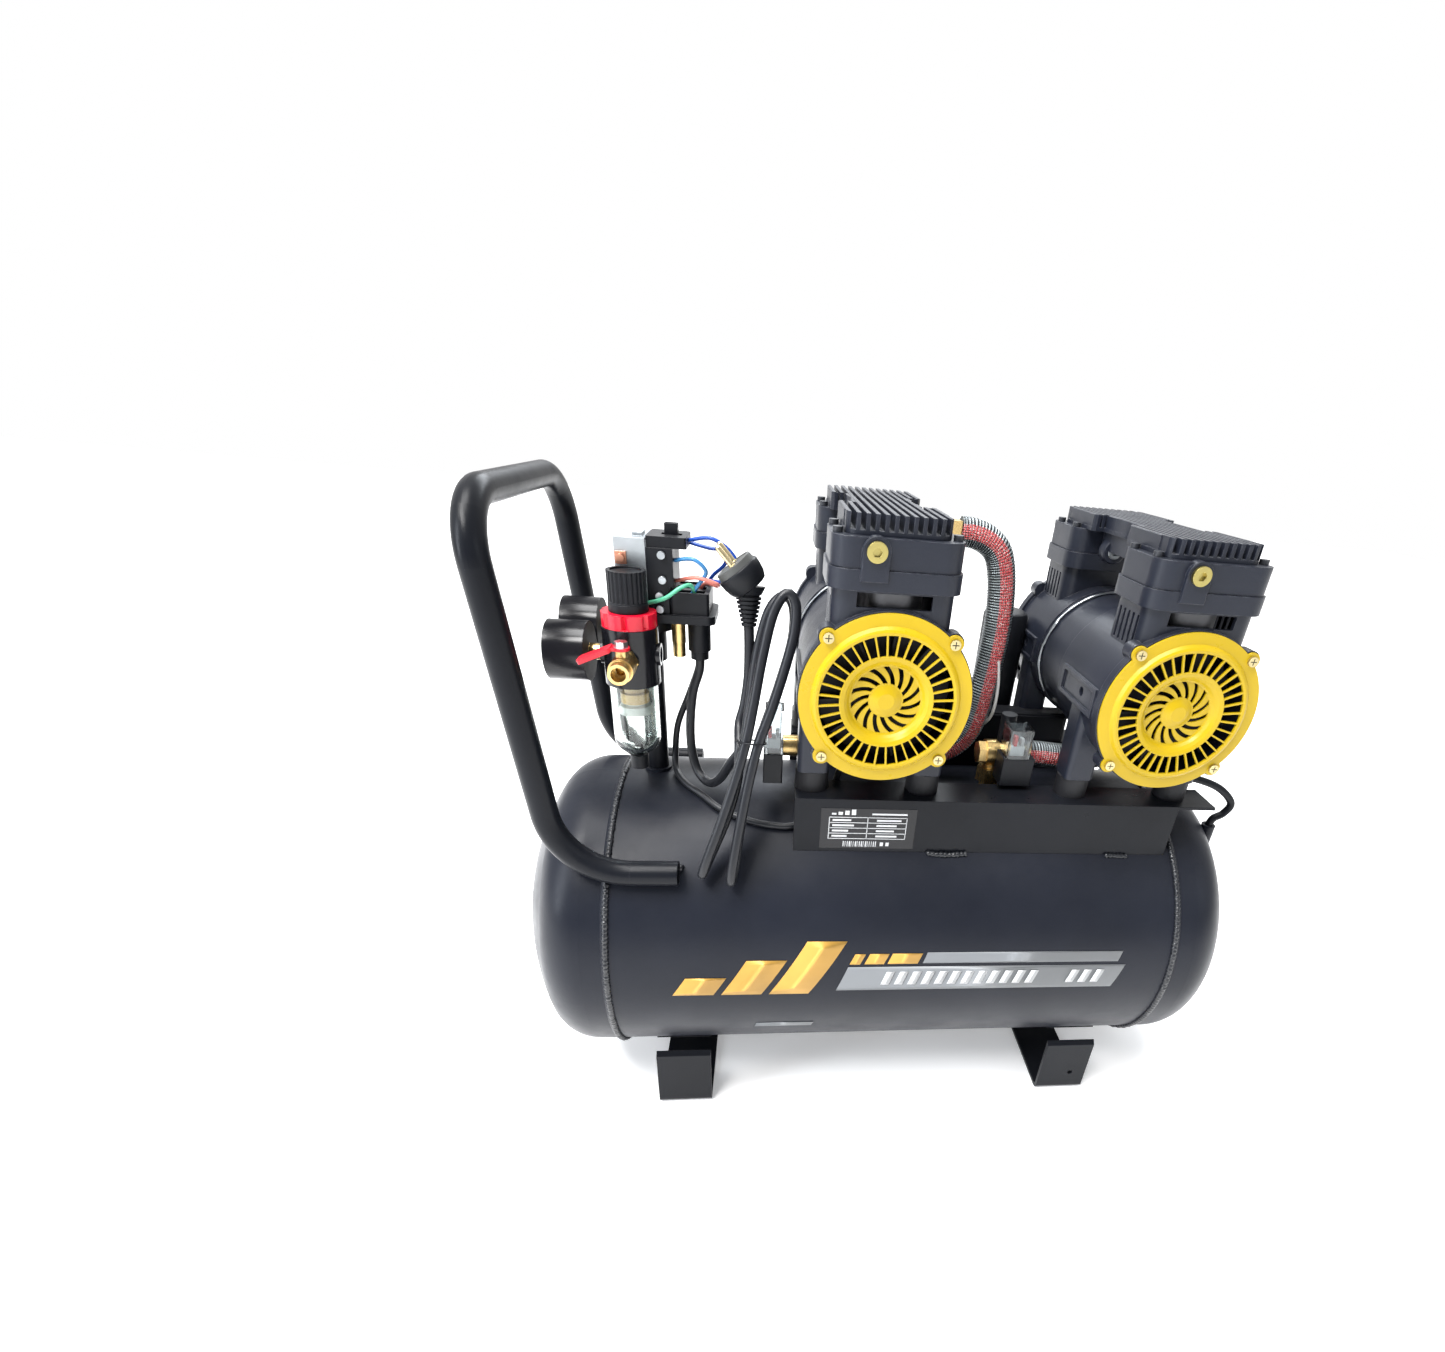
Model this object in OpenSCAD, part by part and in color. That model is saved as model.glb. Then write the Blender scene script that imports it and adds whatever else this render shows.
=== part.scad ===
// Twin-pump oil-free air compressor on a 50 litre horizontal tank.
// X runs along the tank, Y towards the back, Z up; the origin is on the floor below the middle of the tank.

/* [Tank] */
// Outside diameter of the tank
tank_d = 300; // [296:1:302]
// Length of the rolled shell between the two weld seams
shell_len = 538; // [530:1:546]
// Height of the tank axis above the floor
tank_z = 192; // [190:1:194]
// Plate thickness of shell and ends
tank_wall = 3; // [2:0.5:4]
// Depth of each dished end beyond its straight skirt
dome_depth = 73; // [70:1:75]

/* [Feet and saddle] */
// Width of each foot strap
foot_w = 55; // [45:1:60]
// Distance from the middle of the tank to the middle of each foot
foot_x = 212.5; // [205:0.5:220]
// Half of the distance between the front and back faces of a foot
foot_y = 120.5; // [118:0.5:122]
// Height of the flanges that carry the pumps
deck_z = 365; // [363:1:366]
// Distance of the saddle rails' outer faces from the middle
rail_y = 93; // [92:0.5:96]

/* [Handle] */
// Outside diameter of the handle tube
handle_d = 22; // [20:1:22]
// Backward lean of the handle's legs, degrees
handle_lean = 5.85; // [4:0.05:7]
// Height of the middle of the top bar
handle_top = 598; // [590:1:610]

/* [Pumps] */
// Position of the left pump along the tank
left_pump_x = -40.5; // [-42:0.5:-40]
// Position of the right pump along the tank
right_pump_x = 211; // [209:0.5:213]
// Height of the motor shafts
shaft_z = 469.5; // [468:0.5:471]
// Radius of the fan covers
cover_r = 70; // [69:0.5:71]
// Radial slots in a fan cover
cover_slots = 36; // [24:1:40]
// Curved slots around the middle of a fan cover
swirl_slots = 15; // [10:1:18]
// Half of the piston stroke
half_stroke = 7; // [5:0.5:7]

/* [Air service] */
// Position of the post along the tank
post_x = -241; // [-242:0.5:-240]
// Position of the regulator's axis along the tank
reg_x = -250; // [-251:0.5:-249]
// Position of the regulator's axis, front to back
reg_y = -38; // [-39:0.5:-37]
// Height of the regulator's four ports
port_z = 473; // [472:0.5:474]
// Radius of a pressure gauge
gauge_r = 25; // [22:0.5:25]

/* [Hidden] */

$fn = 64;
gap = 0.3;
tank_r = tank_d / 2;
shell_half = shell_len / 2;
skirt = 25;
knuckle_r = 45;
// Crown radius that makes the knuckle and the crown meet at the wanted depth
crown_r = (pow(tank_r - knuckle_r, 2) + dome_depth * dome_depth - knuckle_r * knuckle_r)
    / (2 * (dome_depth - knuckle_r));
strap_t = 4;
rail_t = 3;
rail_left = -108;
rail_right = 262;
flange_right = 300;
flange_w = 38;
handle_r = handle_d / 2;
handle_y = 119;
handle_low = 300.8;
handle_end_x = -208.5;
handle_corner_x = -307;
low_bend = 65;
top_bend = 45;
post_y = 8;
post_r = 10;
pump_x = [left_pump_x, right_pump_x];
// The two ends of a pump: y of the cover seat, y of the inner edge, and the direction inwards
front_face = -118;
front_edge = -16;
rear_face = 130;
rear_edge = 44;
bell_r = 68;
bell_wall = 7;
mount_x = 52;
mount_y = 51;
mount_h = 20;
neck_top = 84;
plate_top = 99.5;
head_top = 121.5;
fin_top = 136.5;
port_x = -18;
hose_y = 0;
hose_z = head_top - 5;
barrel_y = 37;
bore_r = 24;
shaft_r = 6;
crank_r = 14;
big_end_r = crank_r + 2 * half_stroke + 0.4;
ear = 49.1;
outlet_r = 5.8;
valve_pin_y = reg_y - 40;
valve_x = [-90, 88];
valve_y = -30;
valve_z = 388;
gauge_spots = [[reg_y, port_z], [post_y + 8, port_z + 7]];
gauge_back = -284;
gauge_face = -316;

// ---- small helpers ----

module along_x(x, y, z) { translate([x, y, z]) rotate([0, 90, 0]) children(); }
module along_y(x, y, z) { translate([x, y, z]) rotate([-90, 0, 0]) children(); }
module at_tank() { along_x(0, 0, tank_z) children(); }
module box(x, y, z) { translate([x[0], y[0], z[0]]) cube([x[1] - x[0], y[1] - y[0], z[1] - z[0]]); }
module ring(outer, inner, h) {
    difference() {
        cylinder(r = outer, h = h);
        translate([0, 0, -1]) cylinder(r = inner, h = h + 2);
    }
}

// Rectangle centred on the origin with round corners
module pad2(w, d, r) {
    square([w - 2 * r, d], center = true);
    square([w, d - 2 * r], center = true);
    for (x = [-1, 1], y = [-1, 1]) translate([x * (w / 2 - r), y * (d / 2 - r)]) circle(r = r);
}
module block(x, y, z, r) {
    translate([(x[0] + x[1]) / 2, (y[0] + y[1]) / 2, z[0]])
        linear_extrude(z[1] - z[0]) pad2(x[1] - x[0], y[1] - y[0], r);
}

// Smooth curve through route points, n steps for each stretch
function blend(a, b, c, d, t) = 0.5 * (2 * b + (c - a) * t + (2 * a - 5 * b + 4 * c - d) * t * t
    + (3 * b - a - 3 * c + d) * t * t * t);
function route(p, n) = [for (i = [0 : len(p) - 2], j = [0 : n - 1])
    blend(p[max(i - 1, 0)], p[i], p[i + 1], p[min(i + 2, len(p) - 1)], j / n), p[len(p) - 1]];
function heading(p, i) = let (v = p[min(i + 1, len(p) - 1)] - p[max(i - 1, 0)]) v / norm(v);
function square_to(n, t) = let (v = n - (n * t) * t) v / norm(v);
function sides_of(p, n, i = 0) = i == len(p) ? [] :
    let (m = square_to(n, heading(p, i))) concat([m], sides_of(p, m, i + 1));
module tube(p, r, start, sides = 10) {
    side = sides_of(p, start);
    points = [for (i = [0 : len(p) - 1], k = [0 : sides - 1])
        let (a = 360 * k / sides, up = cross(heading(p, i), side[i]))
        p[i] + r * (cos(a) * side[i] + sin(a) * up)];
    walls = [for (i = [0 : len(p) - 2], k = [0 : sides - 1]) let (m = (k + 1) % sides, s = sides)
        [i * s + k, (i + 1) * s + k, (i + 1) * s + m, i * s + m]];
    first = [for (k = [0 : sides - 1]) k];
    last = [for (k = [sides - 1 : -1 : 0]) (len(p) - 1) * sides + k];
    polyhedron(points, concat(walls, [first, last]));
}

// ---- tank ----

module dome_outline(t) {
    tangent_x = (tank_r - knuckle_r) * crown_r / (crown_r - knuckle_r);
    square([tank_r - t, skirt]);
    translate([tank_r - knuckle_r, skirt]) circle(r = knuckle_r - t);
    intersection() {
        translate([0, skirt + dome_depth - crown_r]) circle(r = crown_r - t, $fn = 180);
        translate([0, 1]) square([tangent_x, 2 * dome_depth]);
    }
}
module dome() {
    rotate_extrude($fn = 180) {
        difference() {
            intersection() {
                dome_outline(0);
                square([tank_r, 2 * dome_depth]);
            }
            translate([0, -1]) square([tank_r - tank_wall, skirt + 2]);
            intersection() {
                dome_outline(tank_wall);
                square([tank_r, 2 * dome_depth]);
            }
        }
        // Weld bead that stands proud of the seam
        intersection() {
            translate([tank_r - 1.5, 3.6]) circle(r = 3.5);
            translate([tank_r - 0.1, 0]) square([4, 8]);
        }
    }
}
module tank_shell() {
    color("#15171b") {
        difference() {
            at_tank() translate([0, 0, -shell_half]) ring(tank_r, tank_r - tank_wall, shell_len);
            for (x = valve_x) translate([x, valve_y, tank_z + 100]) cylinder(r = 12.5, h = 60);
            translate([0, 0, tank_z - tank_r - 10]) cylinder(r = 10.5, h = 30);
            translate([post_x, post_y, tank_z + 100]) cylinder(r = 13, h = 60);
        }
        // Threaded sockets welded into the shell
        for (x = valve_x) translate([x, valve_y, tank_z + 132]) ring(12.5, 8, 18);
        translate([0, 0, tank_z - tank_r - 3]) ring(10.5, 6.5, 12);
        translate([post_x, post_y, tank_z + 138]) ring(13, post_r, 15);
    }
}
module tank_dome_left() {
    color("#15171b") translate([-shell_half, 0, tank_z]) rotate([0, -90, 0]) dome();
}
module tank_dome_right() {
    color("#15171b") {
        difference() {
            translate([shell_half, 0, tank_z]) rotate([0, 90, 0]) dome();
            translate([338, -44, tank_z]) cylinder(r = 7, h = 140);
        }
        // Threaded boss for the balance tube
        translate([338, -44, 294]) ring(7, 4.3, 24);
    }
}
module foot(x) {
    difference() {
        translate([x - foot_w / 2, 0, 0]) rotate([90, 0, 90]) linear_extrude(foot_w) difference() {
            union() {
                translate([0, 45]) pad2(2 * foot_y, 90, 7);
                translate([-foot_y, 40]) square([2 * foot_y, 30]);
                polygon([[-foot_y, 70], [-97, 98], [97, 98], [foot_y, 70]]);
            }
            translate([0, 45]) pad2(2 * (foot_y - strap_t), 90 - 2 * strap_t, 4);
            polygon([[strap_t - foot_y, 68.5], [-92, 98.5], [92, 98.5], [foot_y - strap_t, 68.5]]);
            translate([-foot_y - 1, 70]) polygon([[0, 0], [24.5, 29], [0, 29]]);
            mirror([1, 0]) translate([-foot_y - 1, 70]) polygon([[0, 0], [24.5, 29], [0, 29]]);
        }
        translate([-400, 0, tank_z]) rotate([0, 90, 0]) cylinder(r = tank_r, h = 800, $fn = 128);
        for (y = [-90, 90]) translate([x, y, -1]) cylinder(r = 4.5, h = 8);
    }
}
module foot_left() { color("#17191d") foot(-foot_x); }
module foot_right() {
    color("#17191d") difference() {
        foot(foot_x);
        along_y(foot_x + 9, -foot_y - 5, 27) cylinder(r = 3, h = 12);
    }
}

// ---- handle ----

module pipe2() {
    difference() {
        circle(r = handle_r);
        circle(r = handle_r - 1.8);
    }
}
// A bend in short arcs, each close to its own convex hull
module bend(radius, angle, arcs) {
    for (i = [0 : arcs - 1]) rotate([0, 0, i * angle / arcs])
        rotate_extrude(angle = angle / arcs, $fn = 96) translate([radius, 0]) pipe2();
}
module handle_leg(side) {
    turn = 90 - handle_lean;
    tangent = low_bend * tan(turn / 2);
    leg_len = (handle_top - handle_low) / cos(handle_lean);
    y = side * handle_y;
    translate([handle_corner_x + tangent, y, handle_low]) rotate([0, 90, 0])
        linear_extrude(handle_end_x - handle_corner_x - tangent) pipe2();
    translate([handle_corner_x + tangent, y, handle_low + low_bend]) rotate([90, 0, 0])
        rotate([0, 0, -90 - turn]) bend(low_bend, turn, 2);
    translate([handle_corner_x, y, handle_low]) rotate([0, -handle_lean, 0]) {
        translate([0, 0, tangent]) linear_extrude(leg_len - top_bend - tangent) pipe2();
        translate([0, -side * top_bend, leg_len - top_bend]) rotate([90, 0, 90])
            rotate([0, 0, side < 0 ? 90 : 0]) bend(top_bend, 90, 2);
    }
}
module handle_tube() {
    leg_len = (handle_top - handle_low) / cos(handle_lean);
    color("#15171b") {
        handle_leg(-1);
        handle_leg(1);
        translate([handle_corner_x, 0, handle_low]) rotate([0, -handle_lean, 0])
            translate([0, -handle_y + top_bend, leg_len]) rotate([-90, 0, 0])
            linear_extrude(2 * (handle_y - top_bend)) pipe2();
    }
}

// ---- saddle ----

module saddle_rail(stud_y) {
    difference() {
        union() {
            box([rail_left, rail_right], [-rail_y, -rail_y + rail_t], [300, deck_z]);
            box([rail_left, flange_right], [-rail_y, -rail_y + flange_w], [deck_z - rail_t, deck_z]);
        }
        translate([-400, 0, tank_z]) rotate([0, 90, 0]) cylinder(r = tank_r, h = 800, $fn = 128);
        for (x = pump_x, s = [-1, 1]) translate([x + s * mount_x, stud_y, deck_z - 10])
            cylinder(r = 4.3, h = 20);
    }
}
module saddle_rail_front() { color("#17191d") saddle_rail(front_face + mount_y); }
module saddle_rail_rear() { color("#17191d") mirror([0, 1, 0]) saddle_rail(mount_y - rear_face); }

// ---- pumps ----

// Children are drawn in the frame of one pump end: y = 0 at the cover seat and growing inwards
module front_end(x) { translate([x, front_face, shaft_z]) children(); }
module rear_end(x) { translate([x, rear_face, shaft_z]) mirror([0, 1, 0]) children(); }
module both_ends(x) {
    front_end(x) children();
    rear_end(x) children();
}

module bell_outer(len) {
    along_y(0, 0, 0) cylinder(r = bell_r, h = len);
    along_y(0, 0, 0) cylinder(r = cover_r + 1, h = 9);
    for (x = [-ear, ear], z = [-ear, ear]) along_y(x, 0, z) cylinder(r = 8, h = 14);
    block([-48, 48], [6, 68], [30, neck_top], 14);
    for (x = [-mount_x, mount_x]) block([x - 14, x + 14], [mount_y - 15, mount_y + 15],
        [shaft_leg_low(), -10], 6);
    // Raised frame of the cast side panels
    for (s = [-1, 1]) box([s < 0 ? -bell_r - 1.5 : 40, s < 0 ? -40 : bell_r + 1.5], [16, len - 12],
        [-14, 12]);
}
function shaft_leg_low() = deck_z + mount_h - shaft_z;
module crankcase(len) {
    difference() {
        bell_outer(len);
        along_y(0, -1, 0) cylinder(r = bell_r - bell_wall, h = len - 7);
        along_y(0, 0, 0) cylinder(r = 13, h = len + 1);
        // Space around the cylinder barrel, and the barrel's seat in the deck
        block([-43, 43], [barrel_y - 27, barrel_y + 27], [20, neck_top - 3], 10);
        translate([0, barrel_y, 0]) cylinder(r = bore_r + 2.5, h = 100);
        // Window in the neck, cooling slots in its sides, and the panel recess with its port
        box([-29, 29], [-1, 14], [71, neck_top - 2]);
        for (y = [18 : 8 : 50]) box([-60, 60], [y, y + 3.6], [50, 76]);
        for (s = [-1, 1]) box([s < 0 ? -80 : bell_r - 0.5, s < 0 ? 0.5 - bell_r : 80],
            [20, len - 16], [-10, 8]);
        along_x(-bell_r - 5, 46, 0) cylinder(r = 4, h = 2 * bell_r + 10);
        for (x = [-ear, ear], z = [-ear, ear]) along_y(x, -1, z) cylinder(r = 2.2, h = 12);
        // The cover seat is turned flat
        box([-100, 100], [-5, 0], [-100, 100]);
    }
    // Ball bearing of the motor shaft
    along_y(0, len - 8, 0) ring(13, shaft_r + 0.05, 8);
}
module crankcases(x) {
    front_end(x) crankcase(front_edge - front_face);
    rear_end(x) crankcase(rear_face - rear_edge);
}
module left_crankcases() { color("#26282c") crankcases(left_pump_x); }
module right_crankcases() { color("#26282c") crankcases(right_pump_x); }

module stator(x) {
    len = rear_edge - front_edge;
    translate([x, 0, shaft_z]) {
        along_y(0, front_edge, 0) ring(65, 59, len);
        // Folded clip edge with its notches
        difference() {
            along_y(0, rear_edge - 7, 0) ring(67, 65, 7);
            for (a = [0 : 30 : 150]) rotate([0, a, 0])
                box([-70, 70], [rear_edge - 8, rear_edge - 3], [-7, 7]);
        }
        along_y(0, front_edge + 8, 0) ring(59, 34, len - 16);
        for (y = [front_edge + 1, rear_edge - 8]) along_y(0, y, 0) ring(56, 39, 7);
    }
}
module left_stator() { color("#26282c") stator(left_pump_x); }
module right_stator() { color("#26282c") stator(right_pump_x); }

// Valve plate and cylinder head of one end
module head_end() {
    difference() {
        block([-52, 52], [1, 76], [neck_top, plate_top - gap], 17);
        translate([0, barrel_y, 0]) for (s = [-1, 1]) translate([s * 11, 0, 0]) cylinder(r = 4, h = 110);
    }
    difference() {
        union() {
            block([-50.5, 50.5], [2.5, 74.5], [plate_top, head_top], 16);
            block([port_x - 10.5, port_x + 10.5], [-1, 20], [neck_top + 6, head_top - 9], 0.9);
            along_y(port_x, -1, head_top - 9) cylinder(r = 10.5, h = 10);
        }
        box([-60, 60], [-5, 2.3], [neck_top, neck_top + 7]);
        box([-30, 25], [2.2, 30], [neck_top, plate_top]);
        for (s = [-1, 1]) block([s < 0 ? -30 : 3, s < 0 ? -3 : 30], [15, 60], [plate_top - 1,
            head_top - 8], 4);
        along_y(port_x, -3, head_top - 9) cylinder(r = 6, h = 14);
    }
}
module heads(x) { both_ends(x) head_end(); }
module left_heads() { color("#26282c") heads(left_pump_x); }
module right_heads() { color("#26282c") heads(right_pump_x); }

// Outline of the finned cover that joins the two cylinders of a pump
module cover_outline(inset) {
    mid = (front_face + rear_face) / 2;
    for (s = [-1, 1]) translate([0, mid + s * 79]) pad2(82 - 2 * inset, 68 - 2 * inset, 14 - inset);
    difference() {
        translate([0, mid]) square([82 - 2 * inset, 158], center = true);
        for (s = [-1, 1]) translate([s * 87, mid]) circle(r = 60 + inset, $fn = 96);
        for (s = [-1, 1]) translate([s * 41, mid]) square([24 + 2 * inset, 70], center = true);
    }
}
module head_cover(x) {
    mid = (front_face + rear_face) / 2;
    translate([x, 0, shaft_z]) {
        translate([0, 0, head_top]) linear_extrude(3.5) cover_outline(0);
        // Passage between the two heads, with the outlet boss
        difference() {
            union() {
                block([-25, 25], [front_face + 76.5, rear_face - 76.5], [head_top - 16, head_top + 1], 6);
                along_x(20, hose_y, hose_z) cylinder(r = 9, h = 21);
            }
            block([-21, 21], [front_face + 80, rear_face - 80], [head_top - 12, head_top - 1], 4);
            along_x(15, hose_y, hose_z) cylinder(r = 4.6, h = 30);
        }
        translate([0, 0, head_top + 3]) linear_extrude(fin_top - head_top - 3) intersection() {
            cover_outline(0);
            for (i = [-5.5 : 1 : 5.5]) translate([i * 7, mid]) square([3.2, 240], center = true);
        }
        // Wall along both sides, open at the two ends
        translate([0, 0, head_top + 2.6]) linear_extrude(fin_top - head_top - 3) difference() {
            intersection() {
                cover_outline(0.2);
                translate([0, mid]) square([90, 186], center = true);
            }
            cover_outline(3);
            translate([0, mid]) square([50, 220], center = true);
        }
    }
}
module left_head_cover() { color("#222428") head_cover(left_pump_x); }
module right_head_cover() { color("#222428") head_cover(right_pump_x); }

// Fan cover, drawn with its seat at y = 0 and its face towards -y
module cover_profile() {
    polygon([[0, 2.2], [6.5, 2.2], [9.5, 1.2], [12.9, -0.5], [14, -0.6], [28, -0.6], [29.6, 0],
        [31.5, 2.4], [34, 4.6], [37, 5.4], [53, 5.8], [56.5, 6.2], [58.4, 5.2], [60.5, 2.4], [cover_r, 2],
        [cover_r, 0],
        [59, 0], [55.5, 3.6], [37.5, 3.2], [33, 1.2], [30, -2.4], [0, -2.4]]);
}
module slot_pattern() {
    difference() {
        circle(r = 54.2, $fn = 120);
        circle(r = 37.9, $fn = 96);
        for (i = [0 : cover_slots / 2 - 1]) rotate((i + 0.5) * 360 / cover_slots)
            square([120, 1.5], center = true);
    }
    intersection() {
        difference() {
            circle(r = 28.3);
            circle(r = 14.2);
        }
        for (i = [0 : swirl_slots - 1]) rotate(i * 360 / swirl_slots) translate([6, -20.5]) difference() {
            circle(r = 23.8);
            circle(r = 20.4);
            translate([-80, -40]) square([80, 80]);
            translate([-40, -80]) square([80, 80]);
        }
    }
}
module fan_cover() {
    along_y(0, 0, 0) mirror([0, 0, 1]) {
        difference() {
            union() {
                rotate_extrude($fn = 120) cover_profile();
                for (x = [-ear, ear], y = [-ear, ear]) translate([x, y, 0]) cylinder(r = 7, h = 2);
            }
            translate([0, 0, -5]) linear_extrude(15) slot_pattern();
            for (x = [-ear, ear], y = [-ear, ear]) translate([x, y, -1]) cylinder(r = 2.2, h = 5);
        }
    }
}
module left_fan_covers() { color("#d2b419") both_ends(left_pump_x) translate([0, -gap, 0]) fan_cover(); }
module right_fan_covers() { color("#d2b419") both_ends(right_pump_x)
    translate([0, -gap, 0]) fan_cover(); }

// Shaft, rotor core, the two crank discs and the two cooling fans
module fan() {
    along_y(0, 5, 0) cylinder(r = 13, h = 11);
    along_y(0, 15, 0) cylinder(r = 54, h = 2);
    for (i = [0 : 10]) rotate([0, i * 360 / 11, 0]) translate([0, 5, 0]) rotate([0, 12, 0])
        box([11.5, 52.6], [1, 10.5], [-1, 1]);
}
module rotor(x) {
    translate([x, 0, shaft_z]) {
        along_y(0, front_face + 3, 0) cylinder(r = shaft_r, h = rear_face - front_face - 6);
        along_y(0, front_edge + 8, 0) cylinder(r = 33.4, h = rear_edge - front_edge - 16);
        along_y(half_stroke, front_face + barrel_y - 6, 0) cylinder(r = crank_r, h = 12);
        along_y(-half_stroke, rear_face - barrel_y - 6, 0) cylinder(r = crank_r, h = 12);
    }
    both_ends(x) fan();
}
module left_rotor() { color("#1b1b1d") rotor(left_pump_x); }
module right_rotor() { color("#1b1b1d") rotor(right_pump_x); }

// Piston with its rod; the big end leaves room for the crank disc all the way round
module piston() {
    crown_z = neck_top - 1 - half_stroke;
    difference() {
        union() {
            along_y(0, barrel_y - 5, 0) cylinder(r = big_end_r + 4, h = 10);
            box([-6, 6], [barrel_y - 5, barrel_y + 5], [20, crown_z - 7]);
        }
        along_y(0, barrel_y - 6, 0) cylinder(r = big_end_r, h = 12);
    }
    translate([0, barrel_y, crown_z - 8]) cylinder(r = bore_r - 0.08, h = 8);
}
module left_piston_front() { color("#b9bcc0") front_end(left_pump_x) piston(); }
module left_piston_rear() { color("#b9bcc0") rear_end(left_pump_x) piston(); }
module right_piston_front() { color("#b9bcc0") front_end(right_pump_x) piston(); }
module right_piston_rear() { color("#b9bcc0") rear_end(right_pump_x) piston(); }

module cylinder_liners() {
    color("#b9bcc0") for (x = pump_x) both_ends(x)
        translate([0, barrel_y, 55.5]) ring(bore_r + 2.5, bore_r, neck_top - 55.5);
}
module pump_fasteners() {
    color("#c9a84c") for (x = pump_x) both_ends(x) {
        // Cover screws
        for (a = [-ear, ear], b = [-ear, ear]) {
            along_y(a, -5.1, b) cylinder(r = 4.2, h = 2.5);
            along_y(a, -2.5, b) cylinder(r = 2.1, h = 12);
        }
        // Hexagon-socket port plug
        difference() {
            along_y(port_x, -4, head_top - 9) cylinder(r = 7.6, h = 3);
            along_y(port_x, -5, head_top - 9) cylinder(r = 3.6, h = 8, $fn = 6);
        }
        along_y(port_x, -1, head_top - 9) cylinder(r = 6, h = 11);
        // Head bolts
        for (a = [-45.5, 45.5], b = [20, 60]) translate([a, b, head_top]) cylinder(r = 3.8, h = 4);
    }
}
module rubber_mounts() {
    color("#1c1d1f") for (x = pump_x) both_ends(x) for (s = [-1, 1])
        translate([s * mount_x, mount_y, deck_z - shaft_z]) {
            cylinder(r = 15.3, h = mount_h);
            translate([0, 0, -13]) cylinder(r = 4, h = 14);
            translate([0, 0, -10]) cylinder(r = 7, h = 10 - rail_t, $fn = 6);
        }
}

// ---- post, regulator, gauges ----

module manifold_post() {
    color("#15171b") {
        translate([post_x, post_y, tank_z + 138]) ring(post_r, post_r - 2.5, 125.3);
        difference() {
            translate([post_x, post_y, port_z - 18]) cylinder(r = 14, h = 29);
            translate([post_x, post_y, port_z - 19]) cylinder(r = 6, h = 24);
            along_x(post_x - 20, post_y + 8, port_z + 7) cylinder(r = 3.5, h = 20);
            along_y(post_x - 5, post_y - 20, port_z) cylinder(r = 4, h = 20);
            along_y(post_x, post_y, port_z - 3) cylinder(r = 5, h = 20);
        }
        // Nipple into the regulator
        difference() {
            along_y(post_x - 5, reg_y + 24.5, port_z) ring(7, 4, 12);
            translate([post_x, post_y, port_z - 19]) cylinder(r = 14, h = 40);
        }
    }
}
module regulator_body() {
    color("#111214") translate([reg_x, reg_y, 0]) difference() {
        union() {
            translate([0, 0, port_z - 25]) cylinder(r = 22.8, h = 49);
            translate([0, 0, port_z + 23]) cylinder(r = 12, h = 34);
            for (a = [0, 90, 180, 270]) rotate([0, 0, a]) along_x(0, 0, port_z)
                cylinder(r = 9.5, h = 24.5);
        }
        translate([0, 0, port_z - 26]) cylinder(r = 15.5, h = 13);
        translate([0, 0, port_z + 14]) cylinder(r = 9, h = 36);
        for (a = [0, 90, 180, 270]) rotate([0, 0, a]) along_x(14, 0, port_z) cylinder(r = 6.6, h = 12);
        for (a = [0, 90]) rotate([0, 0, a]) along_x(-15, 0, port_z) cylinder(r = 3, h = 30);
    }
}
module regulator_ring() {
    color("#e5173a") translate([reg_x, reg_y, port_z + 24]) difference() {
        ring(22.2, 12, 12);
        for (a = [0 : 45 : 315]) rotate([0, 0, a]) translate([22.2, 0, 7]) rotate([0, 0, 45])
            cube([4, 4, 12], center = true);
    }
}
module regulator_knob() {
    color("#131416") translate([reg_x, reg_y, 0]) difference() {
        union() {
            translate([0, 0, port_z + 36.4]) cylinder(r = 16, h = 6.6);
            translate([0, 0, port_z + 43]) cylinder(r = 15.6, h = 26);
        }
        translate([0, 0, port_z + 36]) cylinder(r = 12.05, h = 22);
        translate([0, 0, port_z + 67.5]) cylinder(r = 12.5, h = 4);
        for (a = [0 : 15 : 345]) rotate([0, 0, a]) translate([16.3, 0, port_z + 44.5])
            cylinder(r = 1.5, h = 30);
    }
}
module bowl_solid(r, low) {
    rotate_extrude() {
        translate([0, low + 14]) square([r, port_z - 25 - low - 14]);
        translate([0, low]) square([r - 14, 15]);
        intersection() {
            translate([r - 14, low + 14]) circle(r = 14);
            translate([0, low]) square([r, 20]);
        }
    }
}
module filter_bowl() {
    color("#dfe8e6") translate([reg_x, reg_y, 0]) difference() {
        bowl_solid(20, 382);
        bowl_solid(18, 384);
        translate([0, 0, 380]) cylinder(r = 4.1, h = 10);
    }
}
module filter_insert() {
    color("#d8b074") translate([reg_x, reg_y, 0]) {
        translate([0, 0, 430]) cylinder(r = 12, h = 9);
        translate([0, 0, 439]) cylinder(r = 9, h = 20.5);
        translate([0, 0, 421]) cylinder(r1 = 15.5, r2 = 13, h = 6);
        translate([0, 0, 427]) cylinder(r = 7, h = 3);
    }
}
module bowl_drain() {
    color("#16171a") translate([reg_x, reg_y, 0]) {
        translate([0, 0, 366]) ring(8, 2.5, 12.5);
        translate([0, 0, 378.5]) ring(4, 2, 9);
    }
}
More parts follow.
